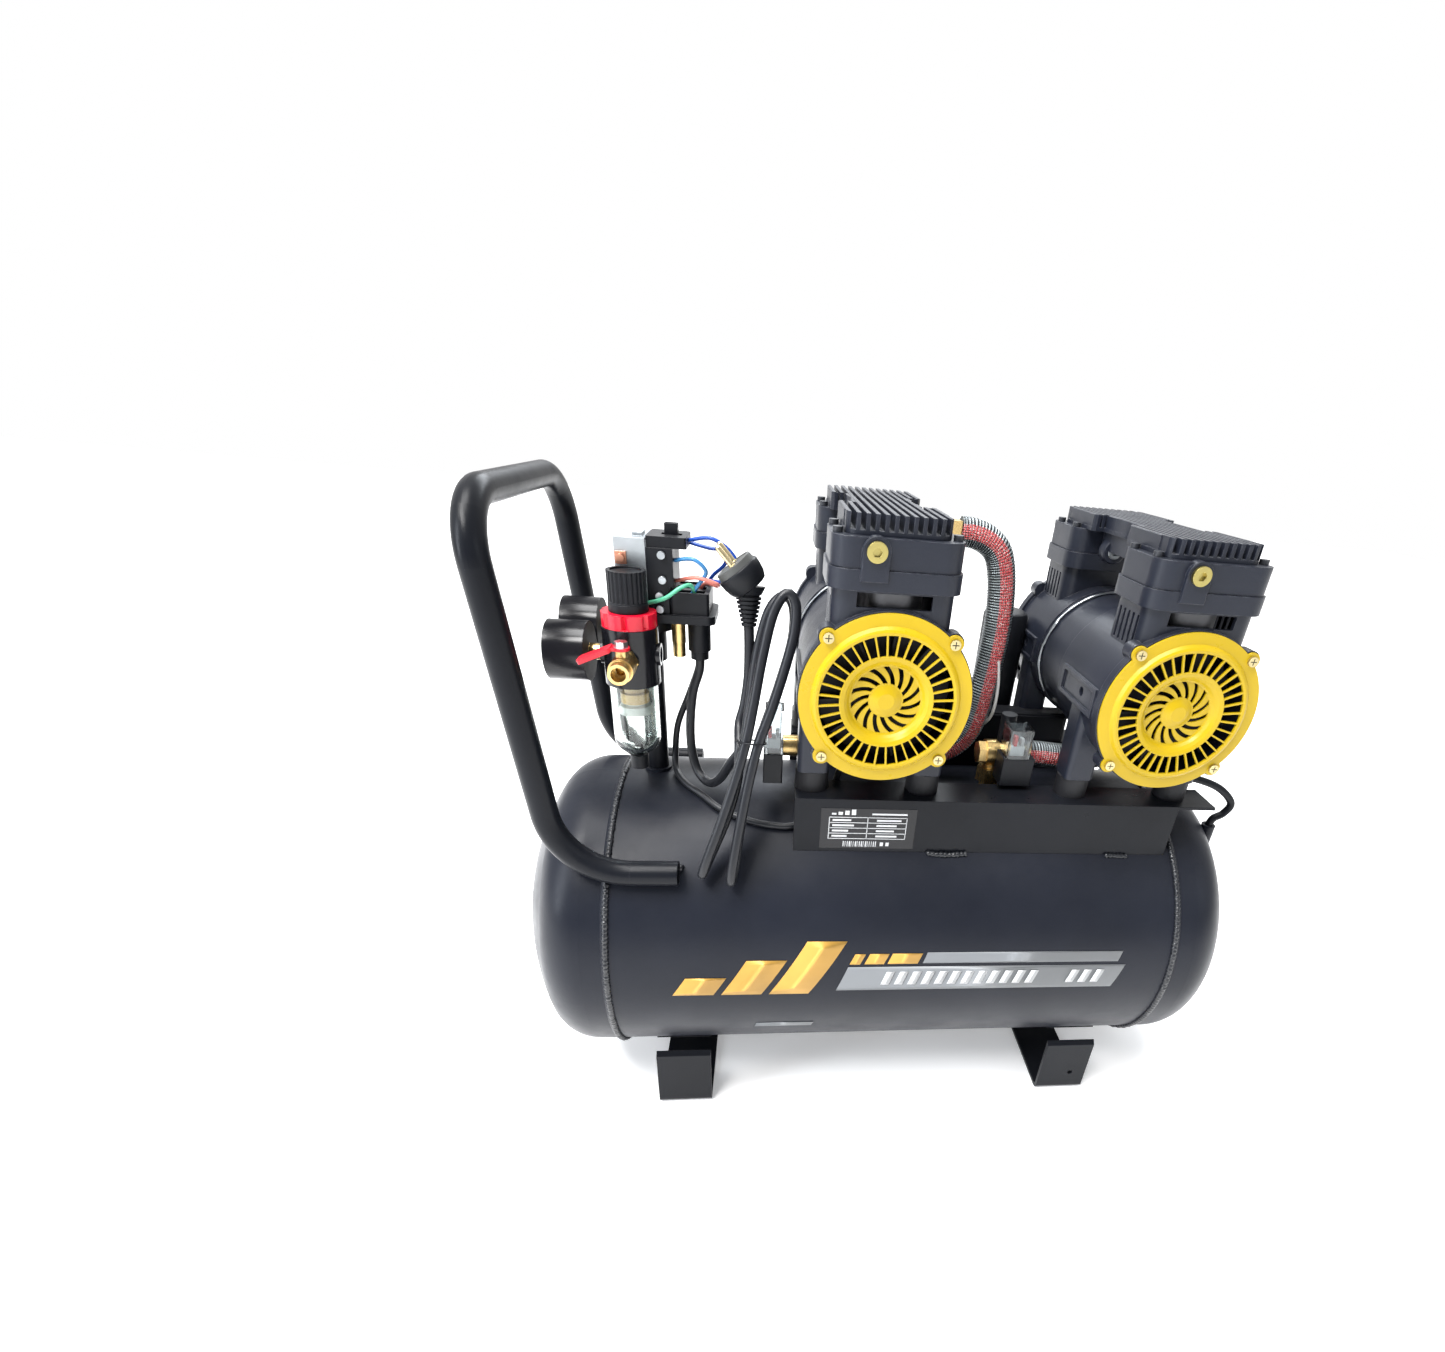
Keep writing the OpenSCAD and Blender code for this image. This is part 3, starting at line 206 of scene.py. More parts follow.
BLACK = (0.0070, 0.0078, 0.0100)
MATS = {
    "tank": coating("tank_paint", (0.0095, 0.0110, 0.0165), 0.36, grain=0.00004, grain_scale=520, dust=0.02,
                    Specular_IOR_Level=0.16),
    "frame": coating("frame_paint", (0.0062, 0.0070, 0.0095), 0.32, grain=0.00005, grain_scale=650, wear=0.16,
                     wear_color=(0.08, 0.08, 0.09), dust=0.01, Specular_IOR_Level=0.13),
    "pump": coating("pump_paint", (0.0125, 0.0148, 0.0230), 0.35, grain=0.00012, grain_scale=1300, wear=0.35,
                    wear_color=(0.17, 0.175, 0.20), dust=0.04, edge=0.0011, Specular_IOR_Level=0.28),
    "cover": coating("cover_paint", (0.42, 0.285, 0.004), 0.30, grain=0.00004, grain_scale=800, shift=0.10,
                     wear=0.25, wear_color=(0.60, 0.47, 0.08), Specular_IOR_Level=0.28, edge=0.0006),
    "plastic": coating("black_plastic", BLACK, 0.38, grain=0.00005, grain_scale=1600, wear=0.25,
                       wear_color=(0.07, 0.07, 0.08), dust=0.05, Specular_IOR_Level=0.18),
    "gloss": coating("gloss_black_plastic", (0.006, 0.006, 0.008), 0.20, grain=0.00002, grain_scale=900,
                     Specular_IOR_Level=0.3),
    "red": coating("red_plastic", (0.60, 0.004, 0.024), 0.30, grain=0.00003, shift=0.08),
    "needle": coating("needle_paint", (0.60, 0.02, 0.02), 0.4),
    "rubber": coating("cable_rubber", (0.010, 0.011, 0.014), 0.36, grain=0.00005, grain_scale=1400, dust=0.03,
                      Specular_IOR_Level=0.35),
    "mount": coating("mount_rubber", (0.010, 0.010, 0.012), 0.55, grain=0.00009, grain_scale=900, dust=0.05,
                     Specular_IOR_Level=0.3),
    "fan": coating("fan_plastic", (0.008, 0.008, 0.010), 0.5, Specular_IOR_Level=0.2),
    "brass": brushed("brass", (0.66, 0.47, 0.20), 0.30, (1, 0, 0)),
    "screws": brushed("passivated_steel", (0.70, 0.58, 0.34), 0.30, (1, 1, 0), aged=0.35),
    "zinc": brushed("zinc_plate", (0.50, 0.53, 0.55), 0.33, (0, 0, 1), tarnish=(0.35, 0.37, 0.38), aged=0.3),
    "chrome": brushed("bright_steel", (0.75, 0.75, 0.77), 0.15, (0, 1, 0), tarnish=(0.4, 0.4, 0.4), aged=0.1),
    "aluminium": brushed("bare_aluminium", (0.58, 0.59, 0.61), 0.35, (1, 0, 1), tarnish=(0.3, 0.3, 0.3)),
    "liner": brushed("dark_liner", (0.10, 0.10, 0.105), 0.45, (1, 0, 1), tarnish=(0.05, 0.05, 0.05)),
    "clear": clear("clear_plastic", (0.70, 0.75, 0.77)),
    "bowl": clear("bowl_plastic", (0.90, 0.96, 0.93), 0.05),
    "white": coating("label_white", (0.66, 0.67, 0.66), 0.5, shift=0.05),
    "silver": coating("silver_film", (0.20, 0.21, 0.22), 0.40, grain=0.00002, shift=0.12, metal=0.25),
    "pale": coating("pale_print", (0.58, 0.59, 0.60), 0.42, grain=0.00002, shift=0.06),
    "gold": coating("gold_film", (0.60, 0.34, 0.07), 0.34, metal=0.35, grain=0.00002, grain_scale=700,
                    shift=0.35),
    "weld": coating("weld_paint", (0.011, 0.012, 0.015), 0.30, grain=0.00030, grain_scale=380, wear=0.4,
                    wear_color=(0.08, 0.08, 0.09)),
    "grey": coating("plug_face", (0.05, 0.052, 0.05), 0.45),
    "wire_white": coating("pale_wire", (0.52, 0.52, 0.50), 0.4, shift=0.08),
    "wire_red": coating("red_wire", (0.60, 0.02, 0.02), 0.38, shift=0.08),
}


def zones(name, rules, base):
    """One material for a node of several parts.

    The base is (colour, metallic, roughness), and a rule is the same with its mask maker in front.
    """
    plain, metal, rough = base
    s = Shader(name, plain, rough, metal)
    parts = s.add("ShaderNodeSeparateXYZ", {0: s.place})
    color = s.mix(s.span(s.noise(30, 4), 0.3, 0.7), scaled(plain, 0.86), scaled(plain, 1.14))
    for make_mask, tint, metallic, roughness in rules:
        mask = make_mask(s, *parts.outputs)
        color = s.mix(mask, color, tint)
        metal = s.blend(mask, metal, metallic)
        rough = s.blend(mask, rough, roughness)
    s.set("Base Color", color)
    s.set("Metallic", metal)
    s.set("Roughness", s.math("ADD", rough, s.span(s.noise(90, 4), 0.3, 0.7, -0.04, 0.08)))
    s.set("Normal", s.bump(s.noise(900, 2), 0.00004, s.soft_edge(0.0006)[0]))
    return s.mat


def within(s, a, b, centre, radius):
    """1 where the point (a, b) is within radius of centre."""
    du, dv = s.math("SUBTRACT", a, centre[0]), s.math("SUBTRACT", b, centre[1])
    squares = s.math("ADD", s.math("MULTIPLY", du, du), s.math("MULTIPLY", dv, dv))
    return s.math("LESS_THAN", squares, radius ** 2)


# The mask makers take heights and places in metres
LEVER_AXIS = (-0.250, -0.078)
COVER_TOP = 0.590


def lever_nut(s, x, y, z):
    """The nut on top of the outlet lever."""
    return s.math("MULTIPLY", within(s, x, y, LEVER_AXIS, 0.0056), s.math("GREATER_THAN", z, 0.4897))


def lever_stem(s, x, y, z):
    """The spindle below the outlet lever's plate."""
    return s.math("MULTIPLY", within(s, x, y, LEVER_AXIS, 0.0068), s.math("LESS_THAN", z, 0.4875))


def cap_screws(s, x, y, z):
    """The screws on top of the head covers."""
    return s.math("GREATER_THAN", z, COVER_TOP)


def port_plugs(s, x, y, z):
    """The plugs in the fronts of the cylinder heads."""
    return s.math("MULTIPLY", s.math("GREATER_THAN", z, 0.572), s.math("LESS_THAN", z, COVER_TOP))


def cross_slot_shade(s, x, y, z):
    """Painted shade: dark crosses where the recesses of the screws in the fan covers' four ears lie."""
    left, right = PUMPS["left"] * MM, PUMPS["right"] * MM
    on_right = s.math("GREATER_THAN", x, (left + right) / 2)
    centre = s.math("ADD", s.math("MULTIPLY", on_right, right - left), left)
    ear = 0.0491
    u = s.math("SUBTRACT", s.math("ABSOLUTE", s.math("SUBTRACT", x, centre)), ear)
    v = s.math("SUBTRACT", s.math("ABSOLUTE", s.math("SUBTRACT", z, SHAFT_Z * MM)), ear)
    near = s.math("LESS_THAN", s.math("ADD", s.math("ABSOLUTE", u), s.math("ABSOLUTE", v)), 0.0030)
    thin = s.math("LESS_THAN", s.math("MINIMUM", s.math("ABSOLUTE", u), s.math("ABSOLUTE", v)), 0.00045)
    return s.math("MULTIPLY", near, thin)


def clip_zone(s, x, y, z):
    """The copper clip on the front of the switch frame."""
    low, high = s.math("GREATER_THAN", z, 0.5415), s.math("LESS_THAN", z, 0.5545)
    side = s.math("MULTIPLY", s.math("LESS_THAN", x, -0.2500), s.math("LESS_THAN", y, -0.0201))
    return s.math("MULTIPLY", s.math("MULTIPLY", low, high), side)


BRASS_TINT, STEEL_TINT = (0.62, 0.44, 0.18), (0.60, 0.61, 0.62)
MATS["lever"] = zones("lever_vinyl", [(lever_nut, STEEL_TINT, 1.0, 0.3), (lever_stem, BRASS_TINT, 1.0, 0.3)],
                      ((0.68, 0.006, 0.022), 0.0, 0.36))
MATS["fasteners"] = zones("passivated_fasteners",
                          [(port_plugs, (0.44, 0.37, 0.13), 1.0, 0.30),
                           (cap_screws, (0.03, 0.032, 0.038), 0.3, 0.4),
                           # the dark crosses are painted shade in the screws' recesses
                           (cross_slot_shade, (0.05, 0.04, 0.02), 0.4, 0.6)], ((0.50, 0.42, 0.22), 0.95, 0.36))
MATS["frame_plate"] = zones("zinc_frame", [(clip_zone, (0.62, 0.30, 0.20), 1.0, 0.35)],
                            ((0.44, 0.47, 0.49), 0.95, 0.36))


def insert_material():
    """Sintered element and its retainer in tan, with the white baffle below them."""
    baffle_top = 0.4300
    s = Shader("filter_insert", (0.66, 0.46, 0.22), 0.55)
    height = s.add("ShaderNodeSeparateXYZ", {0: s.place}).outputs[2]
    grain = s.noise(700, 4, 0.7)
    tan = s.mix(s.span(grain, 0.3, 0.7), (0.56, 0.36, 0.15), (0.80, 0.57, 0.29))
    share = s.span(height, baffle_top - 0.0002, baffle_top + 0.0002)
    s.set("Base Color", s.mix(share, (0.80, 0.81, 0.79), tan))
    s.set("Normal", s.bump(grain, 0.0001, s.soft_edge(0.0005)[0]))
    return s.mat


def case_material():
    """Gauge cases, which face -x: glossy black outside, white dial inside, brass stem."""
    rim_x, dial_x, stem_x = -0.3155, -0.3000, -0.2838
    s = Shader("gauge_case", (0.012, 0.012, 0.014), 0.18, Specular_IOR_Level=0.28)
    x = s.add("ShaderNodeSeparateXYZ", {0: s.place}).outputs[0]
    normal = s.add("ShaderNodeSeparateXYZ", {0: s.add("ShaderNodeNewGeometry").outputs["Normal"]}).outputs[0]
    inside = s.math("MULTIPLY", s.math("LESS_THAN", normal, -0.5), s.math("GREATER_THAN", x, rim_x))
    dial = s.math("MULTIPLY", inside, s.math("LESS_THAN", x, dial_x))
    brass = s.math("GREATER_THAN", x, stem_x)
    smooth = s.noise(30, 4)
    black = s.mix(smooth, (0.006, 0.006, 0.008), (0.012, 0.012, 0.014))
    s.set("Base Color", s.mix(brass, s.mix(dial, black, (0.78, 0.78, 0.76)), (0.62, 0.44, 0.19)))
    s.set("Metallic", brass)
    matt_back = s.math("MULTIPLY", s.math("GREATER_THAN", normal, 0.6), 0.5)
    s.set("Roughness", s.math("ADD", matt_back, s.math("ADD", s.span(smooth, 0.3, 0.7, 0.0, 0.08), 0.16)))
    s.set("Normal", s.bump(s.noise(600, 2), 0.00002, s.soft_edge(0.0008)[0]))
    return s.mat


def wire_material(name, color):
    return coating(name, color, 0.34, grain=0.00003, grain_scale=900, shift=0.12)


MATS["insert"] = insert_material()
MATS["case"] = case_material()
FINISH = {
    "tank": ["tank_shell", "tank_dome_left", "tank_dome_right"],
    "frame": ["foot_left", "foot_right", "handle_tube", "saddle_rail_front", "saddle_rail_rear",
              "manifold_post"],
    "pump": [f"{side}_{part}" for side in PUMPS for part in ("crankcases", "stator", "heads", "head_cover")],
    "cover": ["left_fan_covers", "right_fan_covers"],
    "gloss": ["regulator_body"],
    "plastic": ["regulator_knob", "bowl_drain", "switch_base", "terminal_block", "switch_lever",
                "solenoid_coils", "mains_plug"],
    "red": ["regulator_ring"],
    "lever": ["outlet_valve_lever"],
    "needle": ["gauge_needle_front", "gauge_needle_rear"],
    "rubber": ["motor_cable", "balance_tube", "mains_cord", "cord_hank", "left_hose", "right_hose",
               "switch_wires"],
    "mount": ["rubber_mounts"],
    "fan": ["left_rotor", "right_rotor"],
    "brass": ["outlet_valve_body", "safety_valve_body", "solenoid_bodies", "hose_fittings", "drain_cock_body",
              "drain_cock_screw"],
    "fasteners": ["pump_fasteners"],
    "frame_plate": ["switch_frame"],
    "chrome": ["safety_valve_ring"],
    "aluminium": ["left_piston_front", "left_piston_rear", "right_piston_front", "right_piston_rear"],
    "liner": ["cylinder_liners"],
    "clear": ["gauge_lenses", "solenoid_caps"],
    "bowl": ["filter_bowl"],
    "insert": ["filter_insert"],
    "case": ["gauge_cases"],
}
for finish, names in FINISH.items():
    for name in names:
        for material_slot in NODES[name].material_slots:
            material_slot.material = MATS[finish]

# ---------------------------------------------------------------- mesh helpers


def piece(name, verts, faces, material, smooth=True, uvs=None):
    """A mesh piece in metres that rides on the compressor's body."""
    mesh = bpy.data.meshes.new(name)
    mesh.from_pydata([tuple(v) for v in verts], [], faces)
    mesh.validate()
    mesh.materials.append(material)
    for polygon in mesh.polygons:
        polygon.use_smooth = smooth
    if uvs is not None:
        layer = mesh.uv_layers.new(name="route")
        for loop in mesh.loops:
            layer.data[loop.index].uv = uvs[loop.vertex_index]
    obj = bpy.data.objects.new(name, mesh)
    bpy.context.collection.objects.link(obj)
    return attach(obj, ROOT)


def spline(points, step):
    """Points about `step` apart along a smooth Catmull-Rom curve through the given ones."""
    pts = [Vector(p) for p in points]
    out = []
    for i in range(len(pts) - 1):
        a, b = pts[max(i - 1, 0)], pts[i]
        c, d = pts[i + 1], pts[min(i + 2, len(pts) - 1)]
        n = max(1, round((c - b).length / step))
        for j in range(n):
            t = j / n
            out.append(0.5 * (2 * b + (c - a) * t + (2 * a - 5 * b + 4 * c - d) * t ** 2
                              + (3 * b - a - 3 * c + d) * t ** 3))
    return out + [pts[-1]]


def frames(path):
    """Two directions across the path at every point, turned as little as possible."""
    last = len(path) - 1
    tangents = [(path[min(i + 1, last)] - path[max(i - 1, 0)]).normalized() for i in range(len(path))]
    side = tangents[0].orthogonal().normalized()
    rows = []
    for t in tangents:
        side = (side - side.dot(t) * t).normalized()
        rows.append((side, t.cross(side)))
    return rows


def skin(rings, sides):
    """Faces over rings of points that follow each other, closed at both ends."""
    faces = []
    for low in range(0, (rings - 1) * sides, sides):
        high = low + sides
        faces += [(low + k, low + (k + 1) % sides, high + (k + 1) % sides, high + k) for k in range(sides)]
    return faces + [tuple(reversed(range(sides))), tuple(range((rings - 1) * sides, rings * sides))]


def tube(name, path, radius, material, sides=16, twist=0.0):
    """A closed tube along a path; radius is a number or a function of the distance along it."""
    along, verts, uvs = 0.0, [], []
    for i, (p, (side, other)) in enumerate(zip(path, frames(path))):
        if i:
            along += (p - path[i - 1]).length
        r = radius(along) if callable(radius) else radius
        for k in range(sides):
            a = 2 * math.pi * k / sides + twist
            verts.append(p + r * (math.cos(a) * side + math.sin(a) * other))
            uvs.append((along, k / sides))
    return piece(name, verts, skin(len(path), sides), material, uvs=uvs)


def lathe(name, origin, axis, profile, material, sides=48):
    """A turned part: profile is (distance along the axis, radius) pairs."""
    axis = Vector(axis).normalized()
    side = axis.orthogonal().normalized()
    other, origin = axis.cross(side), Vector(origin)
    verts = [origin + axis * d + max(r, 0.00002) * (math.cos(a) * side + math.sin(a) * other)
             for d, r in profile for a in [2 * math.pi * k / sides for k in range(sides)]]
    obj = piece(name, verts, skin(len(profile), sides), material)
    obj.modifiers.new("edges", "EDGE_SPLIT").split_angle = math.radians(38)
    return obj


def mm(*values):
    """A point given in millimetres."""
    return Vector(values) * MM


# ---------------------------------------------------------------- cords

HANK_LOW = mm(-176, -125, 293)
HANK_TURN = Matrix.Rotation(math.radians(-15.6), 3, "X") @ Matrix.Rotation(math.radians(13), 3, "Y")


def in_hank(u, w, v):
    """A point of the hank: u across it, w through it from front to back, v up it, in millimetres."""
    return HANK_LOW + HANK_TURN @ mm(u, w, v)


def cord_curve(name, points, diameter, material):
    """A round cord as a curve of one open spline."""
    data = bpy.data.curves.new(name, "CURVE")
    data.dimensions = "3D"
    data.bevel_depth, data.bevel_resolution = diameter / 2, 5
    data.use_fill_caps = True
    line = data.splines.new("POLY")
    line.points.add(len(points) - 1)
    for target, p in zip(line.points, points):
        target.co = (*p, 1)
    line.use_smooth = True
    data.materials.append(material)
    obj = bpy.data.objects.new(name, data)
    bpy.context.collection.objects.link(obj)
    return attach(obj, ROOT)


def make_mains_cord():
    """The mains lead: down from the switch, through the wound hank and up to the plug."""
    lead = [(-196, -8, 462), (-197, -8, 450), (-203, -10, 430), (-206, -14, 400), (-205, -18, 375),
            (-199, -26, 356), (-188, -38, 350), (-177, -54, 362), (-166, -69, 386)]
    loops = [
        # behind, up to the top, over and down to the foot
        (-7, 6, 128), (-10, 6, 165), (-14, 6, 205), (-13, 5, 240), (-5, 5, 255), (5, 5, 250), (11, 5, 225),
        (10, 6, 185), (7, 6, 150), (5.5, 6, 132), (6, 6, 90), (9, 6, 50), (12, 5, 22), (12.5, 1, 8),
        # in front, up, over the top and down
        (12, -5, 8), (10, -7, 24), (7.5, -7, 60), (5.5, -6.5, 100), (5.5, -6, 132), (9, -6, 165),
        (11, -6, 200), (11, -6, 230), (6, -6, 252), (-3, -6, 257), (-9, -6, 240), (-9, -6, 205),
        (-6.5, -6, 165), (-5, -6.5, 132), (-6, -7, 95), (-9, -7, 55), (-12.5, -6, 22), (-13.5, -3, 8),
        # the last run, up to where the plug's lead leaves
        (-13, 3, 9), (-10, 7, 26), (-5, 7, 60), (-4, 6.5, 95), (-9, 3, 122)]
    plug_lead = [(-158, -70, 424), (-154, -65, 440), (-151, -58, 462), (-150.5, -54, 485), (-151, -51.2, 507)]
    path = [mm(*p) for p in lead] + [in_hank(*p) for p in loops] + [mm(*p) for p in plug_lead]
    path = spline(path, 4 * MM)
    cord = cord_curve("mains_lead", path, MAINS_D, MATS["rubber"])
    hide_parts("mains_cord", "cord_hank")
    return cord, path


def make_tie():
    """Wire tie round the waist of the hank, with its twisted ends."""
    waist, steps, ring = 132, 28, []
    for k in range(steps + 2):
        a = 2 * math.pi * k / steps
        wide = 1.05 if abs(math.cos(a)) > 0.7 else 1
        ring.append(in_hank(11.5 * math.cos(a) * wide - 0.5, 12.5 * math.sin(a), waist + 2.0 * math.cos(a)))
    return tube("cord_tie", ring, 0.0008, MATS["plastic"], sides=8)


PLUG_AT = mm(-158, -46, 546)
PLUG_AXIS = Vector((-math.sin(math.radians(40)), 0, math.cos(math.radians(40))))


def make_plug():
    """Round plug: ribbed strain relief, dished body, grey face with two pins."""
    black, slot = MATS["plastic"], "plug_black"
    base = mm(-151, -51, 505)
    axis = (PLUG_AT - PLUG_AXIS * 0.010 - base).normalized()
    reach = (PLUG_AT - PLUG_AXIS * 0.012 - base).length
    profile, steps = [(0.0, 0.0055)], 7
    for i in range(steps):
        r = 0.0062 + 0.0042 * i / (steps - 1)
        d = 0.0006 + 0.0245 * i / steps
        profile += [(d, r), (d + 0.0022, r + 0.0003), (d + 0.0024, r - 0.0014), (d + 0.0034, r - 0.0014)]
    profile += [(0.026, 0.0108), (reach, 0.0140)]
    relief = lathe("plug_strain_relief", base, axis, profile, black)
    body = lathe("plug_body", PLUG_AT, PLUG_AXIS,
                 [(-0.0135, 0.0125), (-0.0125, 0.0150), (-0.008, 0.0172), (-0.002, 0.0183), (0.003, 0.0186),
                  (0.0042, 0.0182), (0.0046, 0.0176)], black)
    face = lathe("plug_face", PLUG_AT, PLUG_AXIS,
                 [(0.0040, 0.0170), (0.0096, 0.0163), (0.0100, 0.0158), (0.0100, 0.0140), (0.0094, 0.0136),
                  (0.0094, 0.0010)], MATS["grey"])
    pins = []
    pin_profile = [(0, 0.0030), (0.0012, 0.0030), (0.0014, 0.0024), (0.0172, 0.0024), (0.0188, 0.0019),
                   (0.0196, 0.0010)]
    for k, y in enumerate((-0.0095, 0.0095)):
        foot = PLUG_AT + Vector((0, y, 0)) + PLUG_AXIS * 0.0090
        pins.append(lathe(f"plug_pin_{k + 1}", foot, PLUG_AXIS, pin_profile, MATS["screws"], sides=24))
    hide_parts("mains_plug")
    return [relief, body, face, *pins]


mains, mains_path = make_mains_cord()
tie = make_tie()
plug_parts = make_plug()

# Motor cable from the switch down onto the tank and along to the left pump
CABLE = [(-197, 18, 476), (-199, 17, 450), (-209, 14, 420), (-221, 14, 388), (-224, 9, 362), (-222, -5, 347),
         (-212, -26, 343.5), (-194, -44, 339.5), (-176, -60, 334), (-154, -70, 329.5), (-132, -75, 326.5),
         (-108, -76, 326.5), (-88, -67, 333), (-73, -52, 349), (-65, -49, 374), (-61, -50, 403)]
cable_path = spline([mm(*p) for p in CABLE], 4 * MM)
motor_cable = cord_curve("motor_lead", cable_path, MOTOR_D, MATS["rubber"])
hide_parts("motor_cable")


RIDGE_PITCH = 0.0026
WEAVE_PITCH, STRANDS = 0.0052, 20


def hose_material():
    """Woven steel over a dark hose, with a red woven band; the weave follows the hose's own length."""
    s = Shader("braided_hose", (0.5, 0.5, 0.52), 0.34, 0.8)
    uv = s.add("ShaderNodeUVMap", uv_map="route").outputs[0]
    parts = s.add("ShaderNodeSeparateXYZ", {0: uv})
    along, around = parts.outputs[0], parts.outputs[1]
    wave = s.math("SINE", s.math("MULTIPLY", along, 2 * math.pi / RIDGE_PITCH))
    lengthwise = s.math("MULTIPLY", along, 2 * math.pi / WEAVE_PITCH)
    crosswise = s.math("MULTIPLY", around, 2 * math.pi * STRANDS)
    threads = s.math("MULTIPLY", s.math("SINE", s.math("ADD", lengthwise, crosswise)),
                     s.math("SINE", s.math("SUBTRACT", lengthwise, crosswise)))
    offset = s.math("ABSOLUTE", s.math("SUBTRACT", around, 0.5))
    band = s.span(s.math("ADD", offset, s.span(s.noise(500, 2), 0.3, 0.7, -0.006, 0.006)), 0.085, 0.070)
    steel = s.mix(s.span(wave, -0.35, 0.35), (0.014, 0.016, 0.019), (0.24, 0.27, 0.28))
    flecks = s.span(s.noise(1100, 2), 0.56, 0.62)
    red = s.mix(s.span(threads, -0.35, 0.15), (0.030, 0.006, 0.008), (0.58, 0.050, 0.055))
    red = s.mix(flecks, red, (0.62, 0.50, 0.48))
    s.set("Base Color", s.mix(band, steel, red))
    s.set("Metallic", s.span(band, 0, 1, 0.75, 0.0))
    s.set("Roughness", s.span(band, 0, 1, 0.32, 0.55))
    s.set("Normal", s.bump(s.math("ADD", threads, wave), 0.0003))
    return s.mat


MATS["hose"] = hose_material()
HOSE_R = 13
LEFT_HOSE = [(30, 0, 586), (42, 0, 585.5), (55, 0, 581.5), (67, 0, 572), (74, 0, 555), (78, -1, 530),
             (79, -2, 500), (77, -4, 470), (74.5, -5, 445), (72.5, -3, 420), (68, -1, 400), (59, -1, 386),
             (43, -3, 376.5), (20, -8, 373), (-10, -16, 374), (-34, -26, 382), (-46, -29.6, 387),
             (-52, -30, 388), (-55.5, -30, 388), (-58.5, -30, 388)]
RIGHT_HOSE = [(118, -30, 388), (122, -30, 388), (134, -30, 388), (165, -28, 385), (200, -18, 383),
              (250, 2, 384), (286, 8, 398), (303, 6, 430), (309, 2, 480), (308, 0, 530), (304, 0, 560),
              (294, 0, 578), (284.5, 0, 585.2), (280, 0, 586), (277, 0, 586), (274.2, 0, 586)]


def make_hose(name, route, node):
    """Hose whose wound guard stands up in ridges; its red band is turned to the front."""
    path = spline([mm(*p) for p in route], 0.00065)
    side, other = frames(path)[len(path) // 3]
    front = Vector((0.15, -1, 0.1))
    twist = math.atan2(front.dot(other), front.dot(side)) - math.pi
    ridge = 0.0009

    def radius(d):
        return HOSE_R * MM - ridge + ridge * abs(math.sin(math.pi * d / RIDGE_PITCH)) ** 0.7

    hose = tube(name, path, radius, MATS["hose"], sides=28, twist=twist)
    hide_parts(node)


make_hose("pump_hose_left", LEFT_HOSE, "left_hose")
make_hose("pump_hose_right", RIGHT_HOSE, "right_hose")

# Bent pipe from under the right pump round to the boss in the tank's right end
BALANCE = [(286, -40, 372), (306, -42, 371), (334, -44, 362), (354, -44, 345), (350, -44, 332),
           (340, -44, 325), (338, -44, 314)]
balance_path = spline([mm(*p) for p in BALANCE], 2 * MM)
balance = tube("balance_pipe", balance_path, BALANCE_D / 2, MATS["frame"])
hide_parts("balance_tube")

# Colour and route of each wire of the open pressure switch
LIGHT_BLUE, DARK_BLUE = (0.035, 0.17, 0.38), (0.01, 0.06, 0.34)
SALMON, GREEN = (0.64, 0.19, 0.15), (0.10, 0.48, 0.28)
WIRES = {
    "wire_blue_low": (LIGHT_BLUE, [(-214.5, -12, 547), (-198, -20, 550), (-188, -20, 541), (-194, -16, 530),
                                   (-203, -13, 517)]),
    "wire_salmon": (SALMON, [(-214.5, -6, 529), (-196, -18, 535), (-180, -18, 531), (-180, -8, 527),
                             (-190, 0, 527), (-198, 4, 518)]),
    "wire_green": (GREEN, [(-239, -24, 512), (-222, -26, 518), (-209, -24, 527), (-201, -17, 528),
                           (-198, -13, 518)]),
    "wire_blue_high": (DARK_BLUE, [(-203.5, 0, 562), (-184, -8, 566), (-168, -8, 556), (-162, -8, 542),
                                   (-175, -2, 530), (-188, 4, 528), (-197, 6, 518)]),
    "wire_blue_back": (DARK_BLUE, [(-203.5, 8, 559), (-186, 4, 556), (-172, 2, 556), (-174, 8, 543),
                                   (-185, 17, 531), (-194, 21, 518)]),
}
for name, (color, route) in WIRES.items():
    path = spline([mm(*p) for p in route], 1.2 * MM)
    wire = tube(name, path, WIRE_D / 2, wire_material(name + "_pvc", color), sides=12)
    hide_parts("switch_wires")

# ---------------------------------------------------------------- prints and labels

def film(name, bars, material, lift=0.3):
    """Thin film on the front of the tank: bars are (left, right, low, high, lean) in mm."""
    verts, faces, steps = [], [], 8
    for left, right, low, high, lean in bars:
        first = len(verts)
        for i in range(steps + 1):
            t = i / steps
            z = low + (high - low) * t
            y = -math.sqrt((TANK_R + lift) ** 2 - (z - TANK_Z) ** 2)
            verts += [mm(left + lean * t, y, z), mm(right + lean * t, y, z)]
        faces += [(n, n + 1, n + 3, n + 2) for n in range(first, first + 2 * steps, 2)]
    obj = piece(name, verts, faces, material)
    obj.modifiers.new("thickness", "SOLIDIFY").thickness = -0.00012
    return obj


def slab_set(name, slabs, material, soft=0.0):
    """Boxes given as (x0, x1, y0, y1, z0, z1) in mm, in one mesh; soft rounds their edges."""
    verts, faces = [], []
    for x0, x1, y0, y1, z0, z1 in slabs:
        n = len(verts)
        verts += [mm(x, y, z) for x in (x0, x1) for y in (y0, y1) for z in (z0, z1)]
        faces += [tuple(n + k for k in quad) for quad in
                  ((0, 1, 3, 2), (4, 6, 7, 5), (0, 4, 5, 1), (2, 3, 7, 6), (0, 2, 6, 4), (1, 5, 7, 3))]
    obj = piece(name, verts, faces, material, smooth=False)
    if soft:
        bevel = obj.modifiers.new("soft_edges", "BEVEL")
        bevel.width, bevel.segments = soft * MM, 3
    return obj


